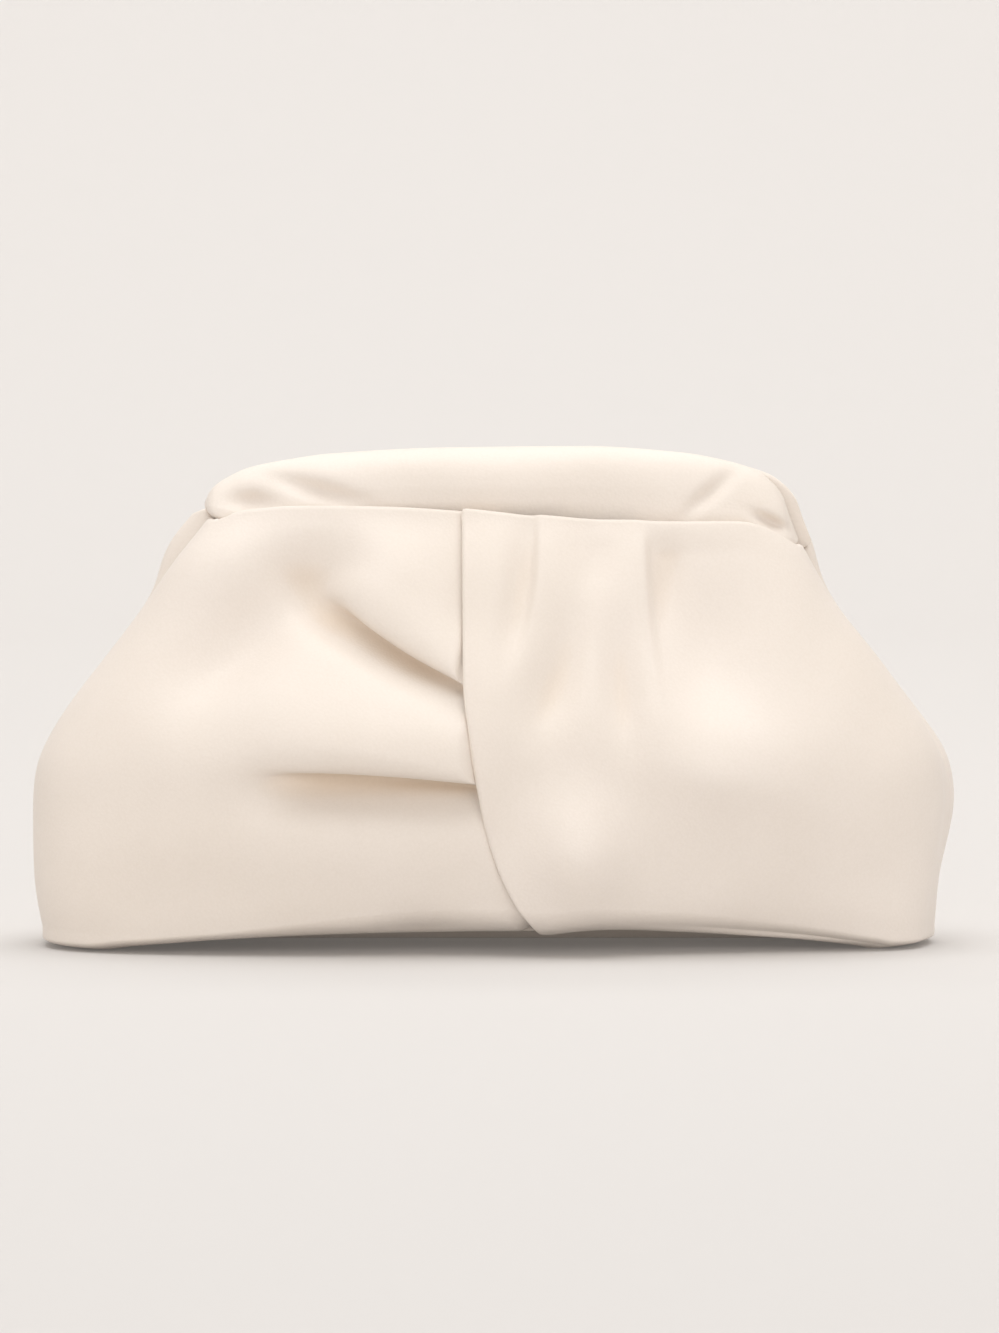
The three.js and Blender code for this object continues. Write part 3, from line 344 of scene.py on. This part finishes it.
def outward(grid, middle_y=0.0):
    across = np.gradient(grid, axis=1)
    up = np.gradient(grid, axis=0)
    n = np.cross(across, up)
    n /= np.linalg.norm(n, axis=2, keepdims=True)
    mid = n[n.shape[0] // 2, n.shape[1] // 2]
    at = grid[n.shape[0] // 2, n.shape[1] // 2]
    return n if mid[1] * (at[1] - middle_y) > 0 else -n


# ------------------------------------------------------------------ folds
def through(points, steps=14):
    """A smooth line through points."""
    p = np.array(points, float)
    p = np.vstack([2 * p[0] - p[1], p, 2 * p[-1] - p[-2]])
    out = []
    for i in range(1, len(p) - 2):
        t = np.linspace(0, 1, steps, endpoint=False)[:, None]
        a, b, c, d = p[i - 1 : i + 3]
        out.append(0.5 * ((2 * b) + (c - a) * t + (2 * a - 5 * b + 4 * c - d) * t**2 + (3 * b - a - 3 * c + d) * t**3))
    return np.vstack(out + [p[-2:-1]])


def beside(line, x, z):
    """Offset from a line (positive to its right), share of its length, and the direction to its right."""
    best = np.full(x.shape, np.inf)
    offset = np.zeros_like(x)
    share = np.zeros_like(x)
    rx, rz = np.zeros_like(x), np.zeros_like(x)
    seg = np.diff(line, axis=0)
    size = np.hypot(seg[:, 0], seg[:, 1])
    start = np.concatenate([[0], np.cumsum(size)])
    normal = np.stack([seg[:, 1], -seg[:, 0]], axis=1) / size[:, None]
    joint = np.vstack([normal[:1], normal[:-1] + normal[1:], normal[-1:]])
    joint /= np.linalg.norm(joint, axis=1)[:, None]
    for i in range(len(seg)):
        dx, dz = seg[i]
        px, pz = x - line[i, 0], z - line[i, 1]
        t = np.clip((px * dx + pz * dz) / size[i] ** 2, 0, 1)
        far = np.hypot(px - t * dx, pz - t * dz)
        hit = far < best
        best = np.where(hit, far, best)
        offset = np.where(hit, (px * dz - pz * dx) / size[i], offset)
        share = np.where(hit, (start[i] + t * size[i]) / start[-1], share)
        rx = np.where(hit, lerp(joint[i, 0], joint[i + 1, 0], t), rx)
        rz = np.where(hit, lerp(joint[i, 1], joint[i + 1, 1], t), rz)
    return offset, share, rx, rz


def swept(line, weight, reach, x, z):
    """A bell of the given reach carried along a line."""
    total = np.zeros_like(x)
    for (px, pz), w in zip(line, weight):
        total += w * np.exp(-((x - px) ** 2 + (z - pz) ** 2) / reach**2)
    return total / (reach * math.sqrt(math.pi))


def relief(panel, x, z, slide=True):
    """Height of a panel's gathers out of the plain form, and how far its sheet slides along it."""
    height = np.zeros_like(x)
    sx, sz = np.zeros_like(x), np.zeros_like(x)
    for fold in rows(FOLDS, FOLD_COLUMNS):
        if fold["panel"] != panel:
            continue
        line = through(fold["line"], 8)
        size = np.concatenate([[0], np.cumsum(np.hypot(*np.diff(line, axis=0).T))])
        at = np.linspace(0, size[-1], max(12, int(size[-1] / 1.6)))
        line = np.stack([np.interp(at, size, line[:, 0]), np.interp(at, size, line[:, 1])], axis=1)
        along = at / at[-1]
        keep_at = lambda t: lerp(fold["keep_start"], 1, smooth(t, 0, fold["fade_in"])) * lerp(fold["keep_end"], 1, smooth(1 - t, 0, fold["fade_out"]))
        weight = keep_at(along) * (at[1] - at[0])
        far = 2.6 * max(fold["right_reach"], fold["left_reach"])
        near = (x > line[:, 0].min() - far) & (x < line[:, 0].max() + far) & (z > line[:, 1].min() - far) & (z < line[:, 1].max() + far)
        xn, zn = x[near], z[near]
        d, share, rx, rz = beside(line, xn, zn)
        right = fold["right_height"] * swept(line, weight, fold["right_reach"], xn, zn) if fold["right_height"] else 0.0
        if fold["left_height"] == fold["right_height"] and fold["left_reach"] == fold["right_reach"]:
            left = right
        else:
            left = fold["left_height"] * swept(line, weight, fold["left_reach"], xn, zn) if fold["left_height"] else 0.0
        soft = lerp(fold["soft_start"], fold["soft_end"], share)
        height[near] += lerp(left, right, smooth(d / soft, -1, 1))
        if slide and fold["lap"]:
            u = d / fold["lap_width"]
            move = -fold["lap"] * keep_at(share) * u * np.exp(0.5 * (1 - u * u))
            sx[near] += move * rx
            sz[near] += move * rz
    for b in rows(BULGES, BULGE_COLUMNS):
        if b["panel"] != panel:
            continue
        turn = math.radians(b["lean"])
        u = (x - b["x"]) * math.cos(turn) + (z - b["z"]) * math.sin(turn)
        v = (z - b["z"]) * math.cos(turn) - (x - b["x"]) * math.sin(turn)
        height += b["height"] * bell(np.hypot(u / b["along"], v / b["across"]))
    if panel == "right":
        height += LAP_LIFT * bell((x - lap_edge(z)) / LAP_LIFT_REACH)
    hold = smooth((back_top(x) if panel == "back" else front_top(x)) - z, 0, TOP_HOLD)
    return np.where(height < 0, height * hold, height), sx, sz


def soft_min(a, b, k=1.6):
    low = np.minimum(a, b)
    return low - np.log(np.exp(-k * (a - low)) + np.exp(-k * (b - low))) / k


def left_relief(x, z):
    height, sx, sz = relief("left", x, z)
    roof = relief("right", x, z, slide=False)[0] - WALL - LAP_CLEAR
    past = lap_edge(z) - x
    return soft_min(height, roof + LAP_RISE * np.maximum(past, 0)), sx * smooth(past, -9.0, -3.0), sz * smooth(past, -9.0, -3.0)


# ------------------------------------------------------------------ shells
def lowest_near(h, reach):
    low = h.copy()
    for axis in (0, 1):
        pad = [(0, 0), (0, 0)]
        pad[axis] = (reach, reach)
        big = np.pad(low, pad, mode="edge")
        low = np.min([np.take(big, range(k, k + h.shape[axis]), axis=axis) for k in range(2 * reach + 1)], axis=0)
    return low


def blurred(h, reach, times=2):
    for _ in range(times):
        for axis in (0, 1):
            pad = [(0, 0), (0, 0)]
            pad[axis] = (reach, reach)
            big = np.pad(h, pad, mode="edge")
            h = np.mean([np.take(big, range(k, k + h.shape[axis]), axis=axis) for k in range(2 * reach + 1)], axis=0)
    return h


def mesh_object(name, points, quads, tris=()):
    points = np.asarray(points, float) + np.array([0.0, SHIFT_Y, -FLOOR_Z])
    quads = np.asarray(quads, np.int32).reshape(-1, 4)
    tris = np.asarray(tris, np.int32).reshape(-1, 3)
    t = np.vstack([quads[:, :3], quads[:, [0, 2, 3]], tris])
    if np.einsum("ij,ij->i", points[t[:, 0]], np.cross(points[t[:, 1]], points[t[:, 2]])).sum() < 0:
        quads, tris = quads[:, ::-1], tris[:, ::-1]
    mesh = bpy.data.meshes.new(name)
    mesh.vertices.add(len(points))
    mesh.vertices.foreach_set("co", (points * MM).ravel())
    corners = np.concatenate([quads.ravel(), tris.ravel()]).astype(np.int32)
    mesh.loops.add(len(corners))
    mesh.loops.foreach_set("vertex_index", corners)
    mesh.polygons.add(len(quads) + len(tris))
    mesh.polygons.foreach_set("loop_start", np.concatenate([np.arange(len(quads)) * 4, len(quads) * 4 + np.arange(len(tris)) * 3]).astype(np.int32))
    mesh.polygons.foreach_set("use_smooth", np.ones(len(quads) + len(tris), bool))
    mesh.update(calc_edges=True)
    mesh.validate()
    mesh.set_sharp_from_angle(angle=math.radians(58))
    obj = bpy.data.objects.new(name, mesh)
    bpy.context.scene.collection.objects.link(obj)
    return obj


def crease_shade_layer(obj, values):
    """How deep in a crease each point lies, 0 to 1, for the painted shade that makes the leather's colour darker and
    warmer there.
    """
    layer = obj.data.attributes.new("crease", "FLOAT", "POINT")
    full = np.zeros(len(obj.data.vertices), np.float32)
    full[: len(values)] = values
    layer.data.foreach_set("value", full)


def shell_object(name, outer, inner, rim=4):
    """A closed leather shell from an outer and an inner grid, with rounded rims."""
    r, c = outer.shape[:2]
    idx = np.arange(r * c).reshape(r, c)
    loop = np.concatenate([idx[0, :-1], idx[:-1, -1], idx[-1, :0:-1], idx[:0:-1, 0]])
    edge = np.zeros_like(outer)
    edge[0, :] += outer[0, :] - outer[1, :]
    edge[-1, :] += outer[-1, :] - outer[-2, :]
    edge[:, 0] += outer[:, 0] - outer[:, 1]
    edge[:, -1] += outer[:, -1] - outer[:, -2]
    o, i, e = outer.reshape(-1, 3), inner.reshape(-1, 3), edge.reshape(-1, 3)
    mid, half = (o[loop] + i[loop]) / 2, (o[loop] - i[loop]) / 2
    size = np.linalg.norm(half, axis=1, keepdims=True)
    e = e[loop] - half * np.sum(e[loop] * half, axis=1, keepdims=True) / size**2
    e = e / np.maximum(np.linalg.norm(e, axis=1, keepdims=True), 1e-9) * np.minimum(size, 1.4)
    rings = [mid + half * math.cos(math.pi * (k + 1) / (rim + 1)) + e * math.sin(math.pi * (k + 1) / (rim + 1)) for k in range(rim)]
    points = np.vstack([o, i] + rings)
    quads = np.stack([idx[:-1, :-1], idx[:-1, 1:], idx[1:, 1:], idx[1:, :-1]], axis=-1).reshape(-1, 4)
    faces = [quads, quads[:, ::-1] + r * c]
    chain = [loop] + [2 * r * c + k * len(loop) + np.arange(len(loop)) for k in range(rim)] + [loop + r * c]
    for a, b in zip(chain[:-1], chain[1:]):
        faces.append(np.stack([a, b, np.roll(b, -1), np.roll(a, -1)], axis=1))
    return mesh_object(name, points, np.vstack(faces))


def sway(x, z, seed, amount):
    """Slight unevenness of a soft panel."""
    rng = np.random.default_rng(seed)
    total = np.zeros_like(x)
    for _ in range(7):
        turn, size, phase = rng.uniform(0, math.pi), rng.uniform(28, 75), rng.uniform(0, 2 * math.pi)
        total += np.sin(2 * math.pi * (x * math.cos(turn) + z * math.sin(turn)) / size + phase)
    return total * amount / math.sqrt(7)


def panel_object(name, grid, turn_rows, how, seed, lapped=False, tucked=False):
    out = outward(grid)
    x, z = grid[..., 0], grid[..., 2]
    height, sx, sz = how(x, z)
    height = height + sway(x, z, seed, 0.3) * smooth(z, FLOOR_Z + 3, FLOOR_Z + 18)
    height = height * smooth(np.abs(grid[..., 1]), 0, SEAM_CALM)
    ny = np.where(np.abs(out[..., 1]) < 0.25, np.sign(out[..., 1] + 1e-9) * 0.25, out[..., 1])
    slide = np.stack([sx, -(out[..., 0] * sx + out[..., 2] * sz) / ny, sz], axis=-1)
    push = out.copy()  # at the foot, in and out rather than up and down, coming to rest where the base begins
    push[..., 2] = np.maximum(push[..., 2], 0)
    level = out[:turn_rows, :, :2] / np.maximum(np.linalg.norm(out[:turn_rows, :, :2], axis=2, keepdims=True), 1e-6)
    push[:turn_rows, :, :2] = level * np.minimum(2 * np.arange(turn_rows) / turn_rows, 1)[:, None, None]
    below = ((WALL + LAP_CLEAR) * smooth(x - lap_edge(z), -LAP_COMES, -1.0) if tucked else np.zeros_like(x))[..., None]
    outer = grid + push * (height[..., None] + below) - out * below + slide
    under = np.minimum(blurred(lowest_near(height, 4), 2), lowest_near(height, 1) + 0.4 * WALL)
    thick = WALL + HEM * smooth(z, grid[-1, :, 2] - 4.0, grid[-1, :, 2] - 0.5)
    if lapped:
        thick = thick + LAP_HEM * bell((x - lap_edge(z)) / 3.0)
        drop = TIP_DROP * bell((x - TIP_X) / TIP_REACH) * (1 - smooth(z, FLOOR_Z + 6, FLOOR_Z + 28))
        outer[..., 2] -= drop
        inner_drop = drop
    else:
        inner_drop = 0.0
    inner = grid + push * (under[..., None] + below) - out * (thick[..., None] + below)
    inner[..., 2] -= inner_drop
    inner[-1, :, 2] -= RIM_SLANT
    obj = shell_object(name, outer, inner)
    # how far each point lies below its blurred surroundings: the mask of the painted shade in the creases
    deep = np.clip((blurred(height, 7) - height - 0.7) / 3.0, 0, 1)
    crease_shade_layer(obj, deep.ravel())
    return obj


# ------------------------------------------------------------------ pieces
def base_object():
    count, rings = 240, 26
    rim = []
    for start in (0.0, math.pi):
        angles = np.linspace(start, start + math.pi, STEPS + 1)
        _, _, run0 = runs(angles, FLOOR_Z + TURN_MID)
        for i in range(count // 2):
            a0 = np.interp(run0[-1] * i / (count // 2), run0, angles)
            x0, y0 = outline_xy(a0, FLOOR_Z + TURN_MID)
            zs = FLOOR_Z + float(turn_height(x0)) + float(arch_lift(x0, y0))
            _, _, run = runs(angles, zs)
            a = np.interp(run[-1] * i / (count // 2), run, angles)
            (xa, xb), (ya, yb) = outline_xy(np.array([a - 1e-4, a + 1e-4]), zs)
            tx, ty = xb - xa, yb - ya
            size = math.hypot(tx, ty)
            inset = TURN_INSET + GAP
            rim.append(((xa + xb) / 2 + ty / size * inset, (ya + yb) / 2 - tx / size * inset))
    rim = np.array(rim)
    share = 1 - (np.arange(rings) / rings) ** 1.15
    flat = rim[None] * share[:, None, None]
    low = np.concatenate([flat, FLOOR_Z + arch_lift(flat[..., 0], flat[..., 1])[..., None]], axis=-1)
    high = low + np.array([0, 0, WALL])
    n = count
    mid = FLOOR_Z + float(arch_lift(0.0, 0.0))
    points = np.vstack([low.reshape(-1, 3), high.reshape(-1, 3), [[0, 0, mid], [0, 0, mid + WALL]]])
    i = np.arange(n)
    j = (i + 1) % n
    quads, tris = [np.stack([i, j, rings * n + j, rings * n + i], axis=1)], []
    for layer in (0, 1):
        o = layer * rings * n
        flip = slice(None) if layer else slice(None, None, -1)
        for k in range(rings - 1):
            quads.append(np.stack([o + k * n + i, o + k * n + j, o + (k + 1) * n + j, o + (k + 1) * n + i], axis=1)[:, flip])
        tris.append(np.stack([o + (rings - 1) * n + i, o + (rings - 1) * n + j, np.full(n, 2 * rings * n + layer)], axis=1)[:, flip])
    return mesh_object("base_leather", points, np.vstack(quads), np.vstack(tris))


def roll_object(name, side, drop, reach, dents):
    prof = np.array(ROLL_PROFILE, float)
    t = np.linspace(0, 1, 44)
    up = prof[:, 0]
    knots = np.linspace(0, 1, len(up))
    up_at, out_at, end_at = curve(knots, up)(t), curve(knots, prof[:, 1])(t), curve(knots, prof[:, 2])(t)
    bend = np.linspace(0, math.pi / 2, 6)[1:]
    back_up = np.concatenate([0.93 + 0.07 * np.cos(bend), [0.6, 0.3], 0.05 - 0.05 * np.sin(np.linspace(0, math.pi / 2, 5)[:-1])])
    back_out = np.concatenate([0.17 * (1 - np.sin(bend)), [0.0, 0.0], 0.30 * (1 - np.cos(np.linspace(0, math.pi / 2, 5)[:-1]))])
    share = np.linspace(0, 1, 281)
    first, last = ROLL[0][0], ROLL[-1][0]
    xs = lerp(lerp(first, last, share), lerp(first, last, 0.5 - 0.5 * np.cos(math.pi * share)), 0.75)
    to_end = np.where(xs < 0, smooth(-xs, *ROLL_NECK_LEFT), smooth(xs, *ROLL_NECK_RIGHT))
    top, bottom, thick = roll["top"](xs) - drop, roll["bottom"](xs), roll["thick"](xs)
    ring_up = np.concatenate([up_at, back_up])
    ring_out = np.concatenate([np.tile(out_at, (len(xs), 1)) * (1 - to_end[:, None]) + np.tile(end_at, (len(xs), 1)) * to_end[:, None], np.tile(back_out, (len(xs), 1))], axis=1)
    z = lerp(bottom[:, None], top[:, None], ring_up[None])
    y = thick[:, None] * ring_out
    x = np.tile((xs + reach[1] * smooth(xs, 55, 97) - reach[0] * smooth(-xs, 55, 93))[:, None], (1, z.shape[1]))
    y = y * (1 + 0.035 * sway(x, z, 31 + side, 1.0))
    if dents:
        face = smooth(y, 2.0, 6.0)
        for d in rows(DENTS, DENT_COLUMNS):
            turn = math.radians(d["lean"])
            u = (x - d["x"]) * math.cos(turn) + (z - d["z"]) * math.sin(turn)
            v = (z - d["z"]) * math.cos(turn) - (x - d["x"]) * math.sin(turn)
            y = y - face * d["depth"] * bell(np.hypot(u / d["along"], v / d["across"]))
    pts = np.stack([x, side * (ROLL_PART + y), z], axis=-1)
    m, n = pts.shape[:2]
    points = np.vstack([pts.reshape(-1, 3), pts[0].mean(axis=0) - [0.4, 0, 0], pts[-1].mean(axis=0) + [0.4, 0, 0]])
    i = np.arange(n)
    j = (i + 1) % n
    quads = [np.stack([k * n + i, k * n + j, (k + 1) * n + j, (k + 1) * n + i], axis=1) for k in range(m - 1)]
    tris = [np.stack([j, i, np.full(n, m * n)], axis=1), np.stack([(m - 1) * n + i, (m - 1) * n + j, np.full(n, m * n + 1)], axis=1)]
    return mesh_object(name, points, np.vstack(quads), np.vstack(tris))


# ------------------------------------------------------------------ leather
def leather(name, tint=(0.825, 0.757, 0.692)):
    mat = bpy.data.materials.new(name)
    mat.use_nodes = True
    nodes, links = mat.node_tree.nodes, mat.node_tree.links
    nodes.clear()
    add = lambda kind, **kw: _set(nodes.new(kind), kw)
    out = add("ShaderNodeOutputMaterial")
    bsdf = add("ShaderNodeBsdfPrincipled")
    links.new(bsdf.outputs["BSDF"], out.inputs["Surface"])
    bsdf.inputs["Specular IOR Level"].default_value = 0.42
    bsdf.inputs["IOR"].default_value = 1.48
    bsdf.inputs["Sheen Weight"].default_value = 0.04
    bsdf.inputs["Sheen Roughness"].default_value = 0.5
    place = add("ShaderNodeTexCoord")
    # broad, faint drift of the dye
    drift = add("ShaderNodeTexNoise")
    drift.inputs["Scale"].default_value = 11.0
    drift.inputs["Detail"].default_value = 3.0
    drift.inputs["Roughness"].default_value = 0.5
    links.new(place.outputs["Object"], drift.inputs["Vector"])
    ramp = add("ShaderNodeValToRGB")
    ramp.color_ramp.elements[0].position = 0.3
    ramp.color_ramp.elements[1].position = 0.72
    ramp.color_ramp.elements[0].color = (tint[0] * 0.965, tint[1] * 0.955, tint[2] * 0.94, 1)
    ramp.color_ramp.elements[1].color = (tint[0] * 1.02, tint[1] * 1.02, tint[2] * 1.025, 1)
    links.new(drift.outputs["Fac"], ramp.inputs["Fac"])
    # fine pores and pebbles of the grain
    pebble = add("ShaderNodeTexVoronoi")
    pebble.feature = "SMOOTH_F1"
    pebble.inputs["Scale"].default_value = 1150.0
    pebble.inputs["Smoothness"].default_value = 0.6
    warp = add("ShaderNodeTexNoise")
    warp.inputs["Scale"].default_value = 420.0
    warp.inputs["Detail"].default_value = 2.0
    mix_vec = add("ShaderNodeVectorMath", operation="MULTIPLY_ADD")
    mix_vec.inputs[1].default_value = (0.0009, 0.0009, 0.0009)
    links.new(place.outputs["Object"], warp.inputs["Vector"])
    links.new(warp.outputs["Color"], mix_vec.inputs[0])
    links.new(place.outputs["Object"], mix_vec.inputs[2])
    links.new(mix_vec.outputs["Vector"], pebble.inputs["Vector"])
    crease = add("ShaderNodeTexNoise")
    crease.inputs["Scale"].default_value = 150.0
    crease.inputs["Detail"].default_value = 4.0
    crease.inputs["Roughness"].default_value = 0.62
    links.new(place.outputs["Object"], crease.inputs["Vector"])
    # the grain tints the dye a very little
    grain_tint = add("ShaderNodeMix", data_type="RGBA", blend_type="MULTIPLY")
    grain_tint.inputs["Factor"].default_value = 0.10
    pore = add("ShaderNodeValToRGB")
    pore.color_ramp.elements[0].position = 0.15
    pore.color_ramp.elements[1].position = 0.75
    pore.color_ramp.elements[0].color = (1, 1, 1, 1)
    pore.color_ramp.elements[1].color = (0.80, 0.76, 0.70, 1)
    links.new(pebble.outputs["Distance"], pore.inputs["Fac"])
    links.new(ramp.outputs["Color"], grain_tint.inputs["A"])
    links.new(pore.outputs["Color"], grain_tint.inputs["B"])
    # painted shade: the colour is made darker and warmer deeper down in the creases, standing in for the shade that
    # falls there
    crease_shade_at = add("ShaderNodeAttribute", attribute_name="crease")
    fold_painted_shade = add("ShaderNodeMix", data_type="RGBA", blend_type="MULTIPLY")
    fold_painted_shade.inputs["B"].default_value = (0.90, 0.83, 0.74, 1)
    links.new(crease_shade_at.outputs["Fac"], fold_painted_shade.inputs["Factor"])
    links.new(grain_tint.outputs["Result"], fold_painted_shade.inputs["A"])
    links.new(fold_painted_shade.outputs["Result"], bsdf.inputs["Base Color"])
    # satin finish, a little uneven
    rough = add("ShaderNodeMapRange")
    rough.inputs["From Min"].default_value = 0.3
    rough.inputs["From Max"].default_value = 0.7
    rough.inputs["To Min"].default_value = 0.44
    rough.inputs["To Max"].default_value = 0.54
    links.new(crease.outputs["Fac"], rough.inputs["Value"])
    links.new(rough.outputs["Result"], bsdf.inputs["Roughness"])
    fine = add("ShaderNodeBump")
    fine.inputs["Strength"].default_value = 0.16
    fine.inputs["Distance"].default_value = 0.00025
    fine.invert = True
    links.new(pebble.outputs["Distance"], fine.inputs["Height"])
    broad = add("ShaderNodeBump")
    broad.inputs["Strength"].default_value = 0.10
    broad.inputs["Distance"].default_value = 0.0006
    links.new(crease.outputs["Fac"], broad.inputs["Height"])
    links.new(fine.outputs["Normal"], broad.inputs["Normal"])
    links.new(broad.outputs["Normal"], bsdf.inputs["Normal"])
    return mat


def _set(node, values):
    for key, value in values.items():
        setattr(node, key, value)
    return node


def plain(name, colour, roughness, glow=0.0):
    mat = bpy.data.materials.new(name)
    mat.use_nodes = True
    bsdf = mat.node_tree.nodes["Principled BSDF"]
    bsdf.inputs["Base Color"].default_value = (*colour, 1)
    bsdf.inputs["Roughness"].default_value = roughness
    bsdf.inputs["Specular IOR Level"].default_value = 0.1
    # an optional glow of the surface's own colour: painted light, not a lamp
    bsdf.inputs["Emission Color"].default_value = (*colour, 1)
    bsdf.inputs["Emission Strength"].default_value = glow
    return mat


# ------------------------------------------------------------------ camera
PHOTO_W, PHOTO_H = 999, 1333
MM_PER_PX = 300.0 / 920.0
LOOK_AT = np.array([2.1, 0.0, 92.4 - FLOOR_Z]) * MM
ELEVATION = math.radians(3.0)
DISTANCE = 1.8

cam_data = bpy.data.cameras.new("camera")
cam_data.sensor_width = 36.0
cam_data.lens = 36.0 * DISTANCE / (PHOTO_H * MM_PER_PX * MM)
cam_data.clip_end = 50.0
cam = bpy.data.objects.new("camera", cam_data)
bpy.context.scene.collection.objects.link(cam)
cam.location = (LOOK_AT[0], LOOK_AT[1] - DISTANCE * math.cos(ELEVATION), LOOK_AT[2] + DISTANCE * math.sin(ELEVATION))
cam.rotation_euler = (math.pi / 2 - ELEVATION, 0.0, 0.0)
bpy.context.scene.camera = cam

# ------------------------------------------------------------------ build
FRONT_TURN_ROWS, BACK_TURN_ROWS = 18, 14
left_grid = wall_grid(math.pi, 0.0, 225, 165, FRONT_TURN_ROWS, np.arange(1, 15) * UNDERLAP / 14, True, front_top, FRONT_REACH, 1.12)
right_grid = wall_grid(0.0, math.pi, 235, 165, FRONT_TURN_ROWS, [], True, front_top, FRONT_REACH, 1.12)
back_grid = wall_grid(math.pi, 2 * math.pi, 300, 120, BACK_TURN_ROWS, [], False, back_top, BACK_REACH, 1.15)

pieces = {
    "front_left_panel": panel_object("front_left_leather", left_grid, FRONT_TURN_ROWS, left_relief, 11, tucked=True),
    "front_right_panel": panel_object("front_right_leather", right_grid, FRONT_TURN_ROWS, lambda x, z: relief("right", x, z), 12, lapped=True),
    "back_panel": panel_object("back_leather", back_grid, BACK_TURN_ROWS, lambda x, z: relief("back", x, z), 13),
    "base_panel": base_object(),
    "front_frame_roll": roll_object("front_casing_leather", -1, 0.0, FRONT_REACH, True),
    "back_frame_roll": roll_object("back_casing_leather", 1, BACK_ROLL_DROP, BACK_REACH, False),
}
cream = leather("cream_leather_fine")
for node, obj in pieces.items():
    obj.data.materials.append(cream)
    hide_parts(node)
    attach(obj, "root")


def sheet_area(obj):
    mesh = obj.data
    area = np.empty(len(mesh.polygons))
    mesh.polygons.foreach_get("area", area)
    return float(area.sum()) / 2


for node, flat in (("front_left_panel", (0.19, 0.20)), ("front_right_panel", (0.19, 0.20)), ("back_panel", (0.36, 0.19)), ("base_panel", (0.256, 0.061))):
    print("SHEET", node, round(sheet_area(pieces[node]), 5), flat[0] * flat[1])
    min(sheet_area(pieces[node]) * 1.04, flat[0] * flat[1])

# ------------------------------------------------------------------ stage and light
FLAT_R, COVE_R, WALL_Z, AROUND = 2.2, 1.4, 4.0, 96
profile = [(r, 0.0) for r in (0.6, 1.2, 1.8, FLAT_R)]
profile += [(FLAT_R + COVE_R * math.sin(a), COVE_R * (1 - math.cos(a))) for a in np.linspace(0, math.pi / 2, 20)[1:]]
profile += [(FLAT_R + COVE_R, WALL_Z)]
verts = [(0.0, 0.0, 0.0)]
verts += [(r * math.cos(t), r * math.sin(t), z) for r, z in profile for t in np.linspace(0, 2 * math.pi, AROUND, endpoint=False)]
faces = [(0, 1 + j, 1 + (j + 1) % AROUND) for j in range(AROUND)]
for k in range(len(profile) - 1):
    for j in range(AROUND):
        n = (j + 1) % AROUND
        faces.append((1 + k * AROUND + j, 1 + (k + 1) * AROUND + j, 1 + (k + 1) * AROUND + n, 1 + k * AROUND + n))
floor_mesh = bpy.data.meshes.new("floor")
floor_mesh.from_pydata(verts, [], faces)
floor_mesh.polygons.foreach_set("use_smooth", [True] * len(floor_mesh.polygons))
floor = bpy.data.objects.new("floor", floor_mesh)
bpy.context.scene.collection.objects.link(floor)
# the floor glows a little: painted light that brightens it and lifts the shadows cast on it
floor.data.materials.append(plain("pale_floor", (0.635, 0.617, 0.602), 0.9, 0.09))

world = bpy.data.worlds.new("studio")
world.use_nodes = True
world.node_tree.nodes["Background"].inputs["Color"].default_value = (1.0, 0.985, 0.965, 1)
world.node_tree.nodes["Background"].inputs["Strength"].default_value = 0.72
bpy.context.scene.world = world


def area_light(name, place, aim, size, power, colour=(1, 1, 1)):
    data = bpy.data.lights.new(name, "AREA")
    data.shape = "RECTANGLE"
    data.size, data.size_y = size
    data.energy = power
    data.color = colour
    obj = bpy.data.objects.new(name, data)
    bpy.context.scene.collection.objects.link(obj)
    obj.location = place
    d = np.array(aim, float) - np.array(place, float)
    obj.rotation_euler = (math.atan2(math.hypot(d[0], d[1]), -d[2]), 0.0, math.atan2(d[0], -d[1]) + math.pi)
    return obj


area_light("key", (0.05, -0.06, 1.7), (0.0, 0.0, 0.05), (1.9, 1.4), 18.2, (1.0, 0.985, 0.97))
area_light("front", (0.0, -2.0, 0.5), (0.0, 0.0, 0.06), (5.0, 0.9), 21.6, (1.0, 0.985, 0.97))
area_light("backdrop", (0.0, 1.9, 2.4), (0.0, 3.2, 0.3), (3.6, 1.4), 40.0, (1.0, 0.985, 0.97))
for side in (-1, 1):
    area_light("side_" + ("left" if side < 0 else "right"), (1.7 * side, -0.25, 0.38), (0.0, 0.0, 0.05), (1.2, 0.7), 1.6)

bpy.context.scene.view_settings.view_transform = "Standard"
bpy.context.scene.view_settings.look = "None"
